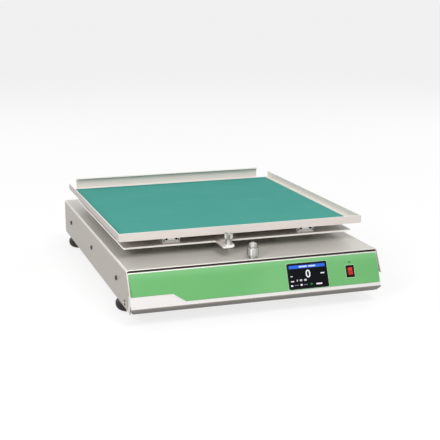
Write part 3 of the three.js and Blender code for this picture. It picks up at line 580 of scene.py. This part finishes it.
# Front panel: bent from sheet, it slopes back to the deck and turns under at a rounded nose.
# Its bare strip below the film is brushed stainless steel. Darker tints where it turns under, and on
# its flanges, paint the shade there.
panel_tint = (226, 223, 220)
# Darker tints for the nose's round and for the flanges: painted shade.
nose_shade_tint = (146, 140, 133)
under_shade_tint = (112, 107, 101)
panel_ease = 0.0005
# How far a face of the panel may look sideways, back, up or down before it counts as an end or a flange
end_normal = 0.5
back_normal = 0.4
flange_normal = 0.8
nose_normal = 0.25


def brushed(name, tint):
    """Stainless sheet brushed across the shaker."""
    return surface(name, tint, 0.3, metal=0.12, grain=0.0004, run=(40, 1, 1), relief=0.05, mottle=0.02)


def panel_part(face):
    """The round of the nose takes the second material, and the flanges that run back from it and from
    the top take the third: darker tints that paint the shade on them."""
    if abs(face.normal.x) > end_normal or face.normal.y > back_normal:
        return 0
    if abs(face.normal.z) > flange_normal:
        return 2
    return int(face.normal.z < nose_normal)


panel_finishes = [brushed("panel_brushed", panel_tint), brushed("nose_round_shade", nose_shade_tint)]
panel_finishes += [brushed("nose_under_shade", under_shade_tint), brushed("panel_edge", panel_tint)]
dressed("front_panel", panel_ease, panel_finishes, pick=panel_part)


# Facing: a plastic film, printed green from behind with a soft lighter wash and stuck on the slope.
# It is cut to shape, with a step at its lower left and openings for the display and the switch.
film_deep = (107, 176, 109)
film_light = (127, 189, 129)
film_edge = (170, 222, 170)
# The film's ends take a dark tint: painted shade where the film meets the side walls.
film_end_shade_tint = (58, 84, 60)
film_face_area = 0.001
film_ease = 0.00012
wash_length = 0.16
wash_start, wash_end = 0.48, 0.9
wash_rise = (0.072, 0.087)
wash_share = 0.75


def make_film():
    """The print: deep green, and lighter in slow waves and towards its upper edge."""
    film = surface("green_film", film_deep, 0.35, shine=0.25, grain=0.0003, relief=0.03)
    nodes = film.node_tree.nodes
    links = film.node_tree.links
    place = nodes.new("ShaderNodeTexCoord")
    wave = cloudy(nodes, links, place.outputs["Object"], wash_length, 1)
    ramp = nodes.new("ShaderNodeMapRange")
    ramp.inputs["From Min"].default_value = wash_start
    ramp.inputs["From Max"].default_value = wash_end
    tone = nodes["tone"]
    tone.inputs["A"].default_value = colour(*film_deep)
    tone.inputs["B"].default_value = colour(*film_light)
    links.new(wave.outputs["Fac"], ramp.inputs["Value"])
    height = nodes.new("ShaderNodeSeparateXYZ")
    links.new(place.outputs["Object"], height.inputs["Vector"])
    rise = nodes.new("ShaderNodeMapRange")
    rise.interpolation_type = "SMOOTHSTEP"
    rise.inputs["From Min"].default_value, rise.inputs["From Max"].default_value = wash_rise
    rise.inputs["To Max"].default_value = wash_share
    links.new(height.outputs["Z"], rise.inputs["Value"])
    both = nodes.new("ShaderNodeMath")
    both.operation = "MAXIMUM"
    links.new(ramp.outputs["Result"], both.inputs[0])
    links.new(rise.outputs["Result"], both.inputs[1])
    links.new(both.outputs[0], tone.inputs["Factor"])
    return film


def film_part(face):
    """The film's two ends take the second material, a dark tint that paints the shade where the film
    meets the side walls, and its other cut edges the last.
    """
    if abs(face.normal.x) > end_normal:
        return 1
    return 0 if face.calc_area() > film_face_area else 2


green_film = make_film()
film_end_shade = surface("film_end_shade", film_end_shade_tint, 0.4, grain=0.0003, relief=0.03)
film_rim = surface("film_rim", film_edge, 0.35, grain=0.0003, relief=0.03)
film_finishes = [green_film, film_end_shade, film_rim]
dressed("front_facing", film_ease, film_finishes, pick=film_part)


# Display: a black plastic housing let into the film, with a glass window over the lit screen.
# The screen shows a plain 0 under a blue bar, and small generic marks.
panel_tilt = 22
screen_lift = 0.00006
housing_corner = 0.002
housing_ease = 0.0004
corner_slack = 0.0001
upright_slack = 0.00002
window_ease = 0.0002
housing_tint = (9, 9, 10)
screen_black = (7, 8, 11)
bar_blue = (52, 112, 236)
mark_white = (238, 240, 246)
mark_pale = (214, 226, 252)
mark_grey = (120, 128, 142)
start_green = (40, 150, 66)
lit_share = 0.6
lettering_gap = 0.000001
housing_black = surface("housing_black", housing_tint, 0.4, shine=0.15, grain=0.0004, mottle=0.1)
window_glass = surface(
    "window_glass", screen_black, 0.1, shine=0.1, grain=0.01, relief=0.0, mottle=0.02,
)
dressed("display_window", window_ease, [window_glass])


def glow(name, tint, strength):
    """A lit area of the screen. Its own light and its reflection add up to the tint."""
    unlit = [c * lit_share for c in tint]
    material = surface(name, unlit, 0.4, shine=0.1, grain=0.0005, relief=0.0, mottle=0.02)
    shader = material.node_tree.nodes["Principled BSDF"]
    shader.inputs["Emission Color"].default_value = colour(*tint)
    shader.inputs["Emission Strength"].default_value = strength
    return material


def slope_face(node):
    """The middle of a node's outer face, with X to the right, Y up the slope and Z out of it, and the
    node's width and height there in millimetres."""
    tilted = Matrix.Rotation(math.radians(90 - panel_tilt), 4, "X")
    flat = tilted.inverted()
    points = [flat @ v.co for v in frame["nodes"][node].data.vertices]
    low = Vector([min(axis) for axis in zip(*points)])
    high = Vector([max(axis) for axis in zip(*points)])
    middle = Vector(((low.x + high.x) / 2, (low.y + high.y) / 2, high.z))
    size = (high - low) * 1000
    return Matrix.Translation(tilted @ middle) @ tilted, size.x, size.y


def make_housing():
    """The housing's own form, with its four outer corners rounded before its edges are eased."""
    form = merged("display_housing")
    flat = slope_face("display_housing")[0].inverted()
    spots = {vert: flat @ vert.co for vert in form.verts}
    right = max(spot.x for spot in spots.values())
    top = max(spot.y for spot in spots.values())
    corners = []
    for edge in form.edges:
        start, end = (spots[vert] for vert in edge.verts)
        upright = (start - end).xy.length < upright_slack
        at_side = abs(start.x) > right - corner_slack
        if upright and at_side and abs(start.y) > top - corner_slack:
            corners.append(edge)
    bmesh.ops.bevel(
        form, geom=corners, offset=housing_corner, offset_type="OFFSET", affect="EDGES", segments=5,
        profile=0.5, material=-1, clamp_overlap=True,
    )
    eased(form, housing_ease)
    finish_piece(
        "display_housing_finished", form, "case", [housing_black],
        ["display_housing"],
    )


make_housing()


def flat_mark(name, corners, place, material):
    """A thin shape on the slope, from its outline in millimetres."""
    form = bmesh.new()
    points = [form.verts.new((x / 1000, y / 1000, 0)) for x, y in corners]
    face = form.faces.new(points)
    grown = bmesh.ops.extrude_face_region(form, geom=[face])["geom"]
    raised = [v for v in grown if isinstance(v, bmesh.types.BMVert)]
    bmesh.ops.translate(form, vec=(0, 0, screen_lift), verts=raised)
    bmesh.ops.recalc_face_normals(form, faces=form.faces)
    bmesh.ops.transform(form, matrix=place, verts=form.verts)
    finish_piece(name, form, "case", [material])


def oblong(x, y, width, height):
    """The outline of an oblong about a point."""
    half, tall = width / 2, height / 2
    return [(x - half, y - tall), (x + half, y - tall), (x + half, y + tall), (x - half, y + tall)]


def lettering(name, text, size, x, y, place, materials, weight=0):
    """A figure or a plain word in a plain face. Size, place and added weight are in millimetres."""
    curve = bpy.data.curves.new(name, "FONT")
    curve.body = text
    curve.size = size / 1000
    curve.align_x = "CENTER"
    curve.align_y = "CENTER"
    curve.offset = weight / 1000
    curve.extrude = screen_lift / 2
    drawn = bpy.data.objects.new(name + "_curve", curve)
    bpy.context.scene.collection.objects.link(drawn)
    bpy.context.view_layer.update()
    form = bmesh.new()
    form.from_mesh(drawn.to_mesh())
    bpy.data.objects.remove(drawn)
    bmesh.ops.remove_doubles(form, verts=form.verts, dist=lettering_gap)
    spot = Matrix.Translation((x / 1000, y / 1000, screen_lift / 2))
    bmesh.ops.transform(form, matrix=place @ spot, verts=form.verts)
    finish_piece(name, form, "case", materials)


def make_screen():
    """The lit marks. Their places and sizes are in millimetres from the middle of the window."""
    place = slope_face("display_window")[0]
    blue = glow("screen_blue", bar_blue, 0.55)
    white = glow("screen_white", mark_white, 0.7)
    pale = glow("screen_pale", mark_pale, 0.7)
    grey = glow("screen_grey", mark_grey, 0.4)
    green = glow("screen_green", start_green, 0.5)
    flat_mark("screen_bar", oblong(0, 16, 67, 5.6), place, blue)
    above = place @ Matrix.Translation((0, 0, screen_lift))
    flat_mark("screen_title_left", oblong(-7.4, 16, 15, 2.4), above, pale)
    flat_mark("screen_title_right", oblong(9.4, 16, 13, 2.4), above, pale)
    lettering("screen_zero", "0", 18.5, 0.6, 2.2, place, [white], weight=0.25)
    for i, (x, figures) in enumerate(((-20.6, "0"), (-13.7, "00"), (-5.6, "00"))):
        lettering(f"screen_time_{i}", figures, 4.3, x, -7.6, place, [white], weight=0.15)
    marks = {
        "unit": (27.5, 2.2, 7, 2, white),
        "hours": (-30.3, 0.2, 3.6, 1.7, pale),
        "time": (-29.6, -8.6, 6, 1.7, white),
        "set": (-31.3, -16, 3.8, 2.8, white),
        "set_line": (-22.8, -15.5, 8, 1.5, grey),
        "menu": (-13.8, -15.5, 3.8, 2.9, white),
        "menu_line": (-5.8, -15.5, 7.4, 1.6, grey),
        "start_line": (19.2, -15.9, 11, 2.4, white),
    }
    for name, (x, y, width, height, tint) in marks.items():
        flat_mark("screen_" + name, oblong(x, y, width, height), place, tint)
    flat_mark("screen_start", [(3.4, -17.5), (8, -15.4), (3.4, -13.3)], place, green)


make_screen()


# Power switch: a snap-in rocker switch, pressed in at the top, whose two faces meet in a shallow valley.
# The film has a printed ON over it, and a pale line round it and round the display.
rocker_red = (208, 44, 28)
# The lower face's and the edges' darker reds are painted shade, and the upper face's faint glow is
# painted light.
rocker_low_shade_red = (176, 32, 14)
rocker_edge_shade_red = (120, 24, 16)
rocker_painted_glow = 0.12
film_ink = (34, 52, 36)
border_width = 0.7
border_gap = 0.55
rocker_ease = 0.0008
rocker_least_angle = 12
rocker_front = -0.6
dressed("power_switch", housing_ease, [housing_black])


def rocker_plastic(name, tint, painted_glow_share):
    """Glossy red plastic, with a faint glow that paints light on it."""
    material = surface(
        name, tint, 0.14, shine=0.35, grain=0.0008, relief=0.02, mottle=0.12, patch=0.004,
    )
    shader = material.node_tree.nodes["Principled BSDF"]
    shader.inputs["Emission Color"].default_value = colour(*tint)
    shader.inputs["Emission Strength"].default_value = painted_glow_share
    return material


def make_rocker():
    """The lower half of the rocker stands proud. Its darker red paints its shade, the faint glow of
    the upper half paints light, and the darker eased edges paint shade.
    """
    finishes = [
        rocker_plastic("rocker_red", rocker_red, rocker_painted_glow),
        rocker_plastic("rocker_lower_shade", rocker_low_shade_red, 0),
        rocker_plastic("rocker_edge_shade", rocker_edge_shade_red, 0),
    ]
    low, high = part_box("switch_rocker")
    middle = (low.z + high.z) / 2

    def rocker_part(face):
        """The lower front face takes the second material, a darker red that paints its shade."""
        return int(face.normal.y < rocker_front and face.calc_center_median().z < middle)

    dressed("switch_rocker", rocker_ease, finishes, rocker_least_angle, rocker_part)


def print_film():
    """A pale line round the display and the switch, as four strips each, and ON above the switch."""
    film = slope_face("front_facing")[0]
    ink = surface("film_ink", film_ink, 0.4, grain=0.0003, relief=0.03)
    for node in ("display_housing", "power_switch"):
        face, width, height = slope_face(node)
        spot = film.inverted() @ face.translation
        place = film @ Matrix.Translation((spot.x, spot.y, 0))
        across = width / 2 + border_gap + border_width / 2
        tall = height / 2 + border_gap + border_width / 2
        strips = {
            "left": oblong(-across, 0, border_width, 2 * tall - border_width),
            "right": oblong(across, 0, border_width, 2 * tall - border_width),
            "top": oblong(0, tall, 2 * across + border_width, border_width),
            "bottom": oblong(0, -tall, 2 * across + border_width, border_width),
        }
        for side, corners in strips.items():
            flat_mark(f"{node}_line_{side}", corners, place, film_rim)
    lettering("switch_word", "ON", 2.6, 0.6, 16, place, [ink], weight=0.2)


make_rocker()
print_film()


# Lock post: a chromed post on the deck in front of the carriage, with a barrel-shaped collar.
# It is turned from bar, so that lamps draw upright stripes on it, and screwed in from below.
post_stem = 0.0072
post_neck = 0.0064
post_collar = 0.0106
post_crown = 0.0009
collar_low, collar_high = 0.0045, 0.0175
post_ease = 0.0035
collar_ease = 0.0005
waist_depth = 0.0008
barrel_steps = 16
post_steps = 96
chrome_tint = (190, 189, 185)
chrome_rim = (70, 68, 66)


def turned_chrome():
    """Chrome over fine rings left by turning. It mirrors lamps as stripes and darkens at its outline."""
    material = surface(
        "turned_chrome", chrome_tint, 0.42, metal=1.0, grain=0.0004, relief=0.01, mottle=0.03,
    )
    nodes = material.node_tree.nodes
    shader = nodes["Principled BSDF"]
    shader.inputs["Anisotropic"].default_value = 1.0
    shader.inputs["Anisotropic Rotation"].default_value = 0.25
    shader.inputs["Specular Tint"].default_value = colour(*chrome_rim)
    rings = nodes.new("ShaderNodeTangent")
    rings.direction_type = "RADIAL"
    rings.axis = "Z"
    material.node_tree.links.new(rings.outputs["Tangent"], shader.inputs["Tangent"])
    return material


chrome_bright = turned_chrome()


def make_post():
    """From the deck up: a neck, the barrel of the collar, a narrow waist and the rounded stem."""
    low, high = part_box("lock_post")
    base, top = low.z, high.z
    bottom, shoulder = base + collar_low, base + collar_high
    middle, tall = (bottom + shoulder) / 2, (shoulder - bottom) / 2
    barrel = []
    for i in range(barrel_steps + 1):
        angle = math.pi * (i / barrel_steps - 0.5)
        bulge = post_crown * (1 - math.cos(angle))
        barrel.append((post_collar - bulge, middle + tall * math.sin(angle)))
    profile = [
        (0, base),
        (post_neck, base),
        (post_neck, bottom),
        (barrel[0][0] - collar_ease, bottom),
        *barrel[:-1],
        (barrel[-1][0] - collar_ease, shoulder),
        (post_stem, shoulder),
        (post_stem - waist_depth, shoulder + waist_depth),
        (post_stem - waist_depth, shoulder + 2 * waist_depth),
        (post_stem, shoulder + 3 * waist_depth),
        *arc_profile(post_ease, post_stem - post_ease, top - post_ease, 0, 90),
        (0, top),
    ]
    form = spun(profile, (low.x + high.x) / 2, (low.y + high.y) / 2, post_steps)
    finish_piece("lock_post_finished", form, "case", [chrome_bright], ["lock_post"])


make_post()


# Cross slide: two ground rails on the deck and four blocks under the carriage.
# Each block is bright steel, screwed on, and an end cap with two black plugs and two dark seals closes
# either end.
plug_radius = 0.0021
plug_proud = 0.0003
plug_across = 0.0092
plug_drop = 0.0045
seal_across = (0.0122, 0.0152)
seal_drop = (0.0034, 0.0084)
plug_steps = 20
rail_ease = 0.0003
block_ease = 0.0004
rail_tint = (206, 206, 204)
block_tint = (226, 223, 218)
seal_tint = (14, 13, 12)
rail_steel = surface(
    "rail_steel", rail_tint, 0.2, metal=0.9, grain=0.0003, run=(30, 1, 1), relief=0.03,
)
block_steel = surface(
    "block_steel", block_tint, 0.34, metal=0.5, grain=0.0004, relief=0.05, mottle=0.05,
)
seal_black = surface("seal_black", seal_tint, 0.6, shine=0.1, grain=0.0004, mottle=0.1)


def cap_details(low, high, along, rail_above):
    """The plugs and seals on both ends of a block. Along is the axis that it runs on."""
    across = 1 - along
    form = bmesh.new()
    centre = (low[across] + high[across]) / 2
    top, sign = (high.z, -1) if rail_above else (low.z, 1)
    for end, face in ((-1, low[along]), (1, high[along])):
        for side in (-1, 1):
            plug = bmesh.ops.create_circle(
                form, cap_ends=True, segments=plug_steps, radius=plug_radius,
            )["verts"]
            spots = [(v.co.x + side * plug_across, v.co.y + sign * plug_drop) for v in plug]
            seal = [form.verts.new((0, 0, 0)) for _ in range(3)]
            form.faces.new(seal)
            near_top, near_foot = sign * seal_drop[0], sign * seal_drop[1]
            inner, outer = side * seal_across[0], side * seal_across[1]
            spots += [(inner, near_top), (outer, near_foot), (inner, near_foot)]
            for vert, (out, up) in zip(plug + seal, spots):
                vert.co[along] = face + end * plug_proud
                vert.co[across] = centre + out
                vert.co.z = top + up
    grown = bmesh.ops.extrude_face_region(form, geom=list(form.faces))["geom"]
    middle = (low[along] + high[along]) / 2
    for vert in grown:
        if isinstance(vert, bmesh.types.BMVert):
            vert.co[along] -= math.copysign(2 * plug_proud, vert.co[along] - middle)
    bmesh.ops.recalc_face_normals(form, faces=form.faces)
    return form


def finish_blocks(nodes, along, rail_above):
    """Dresses the blocks, and fits their plugs and seals."""
    for node in nodes:
        dressed(node, block_ease, [block_steel])
        form = cap_details(*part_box(node), along, rail_above)
        body = frame["nodes"][node]["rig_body"]
        finish_piece(node + "_plugs", form, body, [seal_black])


ends = ("front", "rear")
sides = ("left", "right")
for end in ends:
    dressed("cross_rail_" + end, rail_ease, [rail_steel])
cross_blocks = [f"cross_block_{end}_{side}" for end in ends for side in sides]
finish_blocks(cross_blocks, along=0, rail_above=False)


# Carriage plate, lock bar and thumb screw: a satin steel plate screwed on the cross slide's blocks,
# whose cut edges, and the bar's, take a brighter tint, a painted highlight. A tongue at its front
# holds the bar, under a chromed screw with a fluted head.
plate_ease = 0.0003
bar_ease = 0.0004
edge_normal = 0.9
plate_tint = (212, 208, 202)
# The cut edges' brighter tint is a painted highlight.
cut_edge_highlight_tint = (252, 248, 244)
bar_tint = (222, 218, 212)
thumb_shank = 0.003
thumb_stem = 0.0055
thumb_head = 0.010
thumb_flutes = 24
flute_depth = 0.0009
thumb_ease = 0.0012
shank_ease = 0.0005
thumb_groove = 0.001
groove_fall = 0.0003
groove_height = 0.0015
dish_depth = 0.0006
# The dish in the head, from its rim to its floor, as shares of the head's radius
dish_rim, dish_floor = 0.55, 0.5
fluted_share = 0.97


def plate_part(face):
    """The cut edges take the second material, a brighter tint that paints their highlight."""
    return int(abs(face.normal.z) < edge_normal)


plate_satin = satin("plate_satin", plate_tint)
cut_edge_highlight = surface(
    "cut_edge_highlight", cut_edge_highlight_tint, 0.26, metal=0.8, grain=0.0003, run=(20, 1, 1), relief=0.03,
)
bar_satin = satin("bar_satin", bar_tint, 0.3)
dressed("carriage_plate", plate_ease, [plate_satin, cut_edge_highlight], pick=plate_part)
dressed("lock_bar", bar_ease, [bar_satin, cut_edge_highlight], pick=plate_part)


def fluted(form, x, y, radius, low, high, count, depth):
    """Presses straight flutes into the round band between two heights."""
    for vert in form.verts:
        offset = Vector((vert.co.x - x, vert.co.y - y))
        if low < vert.co.z < high and offset.length > radius * fluted_share:
            wave = math.cos(count * math.atan2(offset.y, offset.x))
            share = 1 - depth / radius * (1 - wave) / 2
            vert.co.x, vert.co.y = x + offset.x * share, y + offset.y * share


def make_thumb_screw():
    """From below: the shank, the collar on the bar with a groove over it, and the head with its dish."""
    low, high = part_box("lock_screw")
    x, y = (low.x + high.x) / 2, (low.y + high.y) / 2
    radius = (high.x - low.x) / 2
    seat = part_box("lock_bar")[1].z
    top = high.z
    head = top - thumb_head
    ease = thumb_ease
    neck = thumb_stem - thumb_groove
    profile = [
        (0, low.z),
        (thumb_shank - shank_ease, low.z),
        (thumb_shank, low.z + shank_ease),
        (thumb_shank, seat),
        (thumb_stem, seat),
        (thumb_stem, head - groove_height),
        (neck, head - groove_height + groove_fall),
        (neck, head),
        (radius - ease, head),
        (radius, head + ease),
        (radius, (head + top) / 2),
        (radius, top - ease),
        (radius - ease / 2, top - ease / 4),
        (radius - ease, top),
        (radius * dish_rim, top),
        (radius * dish_floor, top - dish_depth),
        (0, top - dish_depth),
    ]
    form = spun(profile, x, y, 4 * thumb_flutes)
    fluted(form, x, y, radius, head + ease / 2, top - ease / 2, thumb_flutes, flute_depth)
    finish_piece("lock_screw_finished", form, "thumb_screw", [chrome_bright], ["lock_screw"])


make_thumb_screw()


# Crank: a ground steel disc on the shaft's end with a bright pin and bearing, and a weight that balances
# the tray. They turn in the gap between the deck and the tray, and show only from the sides.
disc_ease = 0.0005
pin_ease = 0.0003
for node in ("crank_disc", "counterweight"):
    dressed(node, disc_ease, [ground])
for node in ("crank_pin", "pin_bearing"):
    dressed(node, pin_ease, [chrome_bright])


# Tray slide: two long ground rails screwed under the tray, gripped by four blocks on the carriage.
# The front blocks show as bright ends with dark plugs under the tray's rim.
for side in sides:
    dressed("side_rail_" + side, rail_ease, [rail_steel])
side_blocks = [f"side_block_{side}_{end}" for side in sides for end in ends]
finish_blocks(side_blocks, along=1, rail_above=True)


# Tray: folded from satin steel sheet with a rim on three sides, mitred at the front corners.
# The hub that takes the crank's bearing is bolted under its middle.
tray_ease = 0.0004
hub_ease = 0.0005
rim_normal = 0.3
rim_depth = 0.001
side_depth = 0.0002
tray_tint = (222, 214, 208)
# The rim's outer sides take a darker tint, a painted shade, and its top edge and eased edges a brighter
# one, a painted highlight.
tray_side_shade_tint = (192, 184, 178)
tray_highlight_tint = (255, 252, 248)
tray_satin = surface(
    "tray_satin", tray_tint, 0.4, metal=0.08, grain=0.0005, run=(1, 10, 1), relief=0.04, mottle=0.015,
    patch=0.1,
)
tray_side_shade = surface(
    "tray_side_shade", tray_side_shade_tint, 0.4, metal=0.08, grain=0.0005, run=(1, 10, 1), relief=0.04,
    mottle=0.015,
)
tray_highlight = surface(
    "tray_highlight", tray_highlight_tint, 0.3, metal=0.1, grain=0.0004, run=(1, 10, 1), relief=0.04,
)
tray_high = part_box("tray")[1]


def tray_part(face):
    """The rim's top edge takes the last material, a brighter tint that paints its highlight, and its
    outer sides the second, a darker tint that paints their shade.
    """
    centre = face.calc_center_median()
    if face.normal.z > rim_normal and centre.z > tray_high.z - rim_depth:
        return 2
    outward = abs(face.normal.x) > wall_normal and face.normal.x * centre.x > 0
    return int(outward and abs(centre.x) > tray_high.x - side_depth)


tray_finishes = [tray_satin, tray_side_shade, tray_highlight]
dressed("tray", tray_ease, tray_finishes, pick=tray_part)
dressed("tray_hub", hub_ease, [ground])


# Mat: a thin sheet of teal rubber, cut square and laid in the tray.
# Its face is matt, with a fine even grain, a slight bloom and faint scuffs across it.
mat_teal = (62, 143, 132)
mat_bloom = (72, 151, 140)
scuff_tint = (108, 176, 165)
bloom_size = 0.11
scuff_size = 0.018
scuff_stretch = 4
scuff_start, scuff_full = 0.62, 0.8
scuff_share = 0.16
mat_ease = 0.0004


def make_mat():
    """Teal rubber in two close tones, with rare paler scuffs that lie across the mat."""
    rubber = surface("mat_rubber", mat_teal, 0.75, shine=0.08, grain=0.0007, relief=0.15)
    nodes = rubber.node_tree.nodes
    links = rubber.node_tree.links
    place = nodes.new("ShaderNodeTexCoord")
    bloom = cloudy(nodes, links, place.outputs["Object"], bloom_size, 5)
    tone = nodes["tone"]
    tone.inputs["A"].default_value = colour(*mat_teal)
    tone.inputs["B"].default_value = colour(*mat_bloom)
    links.new(bloom.outputs["Fac"], tone.inputs["Factor"])
    flatten = nodes.new("ShaderNodeMapping")
    flatten.inputs["Scale"].default_value = (1 / scuff_stretch, 1, 1)
    links.new(place.outputs["Object"], flatten.inputs["Vector"])
    scuffs = cloudy(nodes, links, flatten.outputs["Vector"], scuff_size, 2)
    rare = nodes.new("ShaderNodeMapRange")
    rare.inputs["From Min"].default_value = scuff_start
    rare.inputs["From Max"].default_value = scuff_full
    rare.inputs["To Max"].default_value = scuff_share
    links.new(scuffs.outputs["Fac"], rare.inputs["Value"])
    worn = nodes.new("ShaderNodeMix")
    worn.data_type = "RGBA"
    worn.inputs["B"].default_value = colour(*scuff_tint)
    links.new(rare.outputs["Result"], worn.inputs["Factor"])
    links.new(tone.outputs["Result"], worn.inputs["A"])
    links.new(worn.outputs["Result"], nodes["Principled BSDF"].inputs["Base Color"])
    dressed("tray_mat", mat_ease, [rubber])


make_mat()


# Back rail: a channel along the tray's rear edge, open to the front, that stops the load.
# It is folded from the tray's own sheet and fixed through its lower flange.
back_rail_end = 0.9


def back_rail_part(face):
    """The cut ends take the second material, the tray's brighter tint that paints their highlight."""
    return int(abs(face.normal.x) > back_rail_end)


back_rail_finishes = [tray_satin, tray_highlight]
dressed("tray_back_rail", tray_ease, back_rail_finishes, pick=back_rail_part)
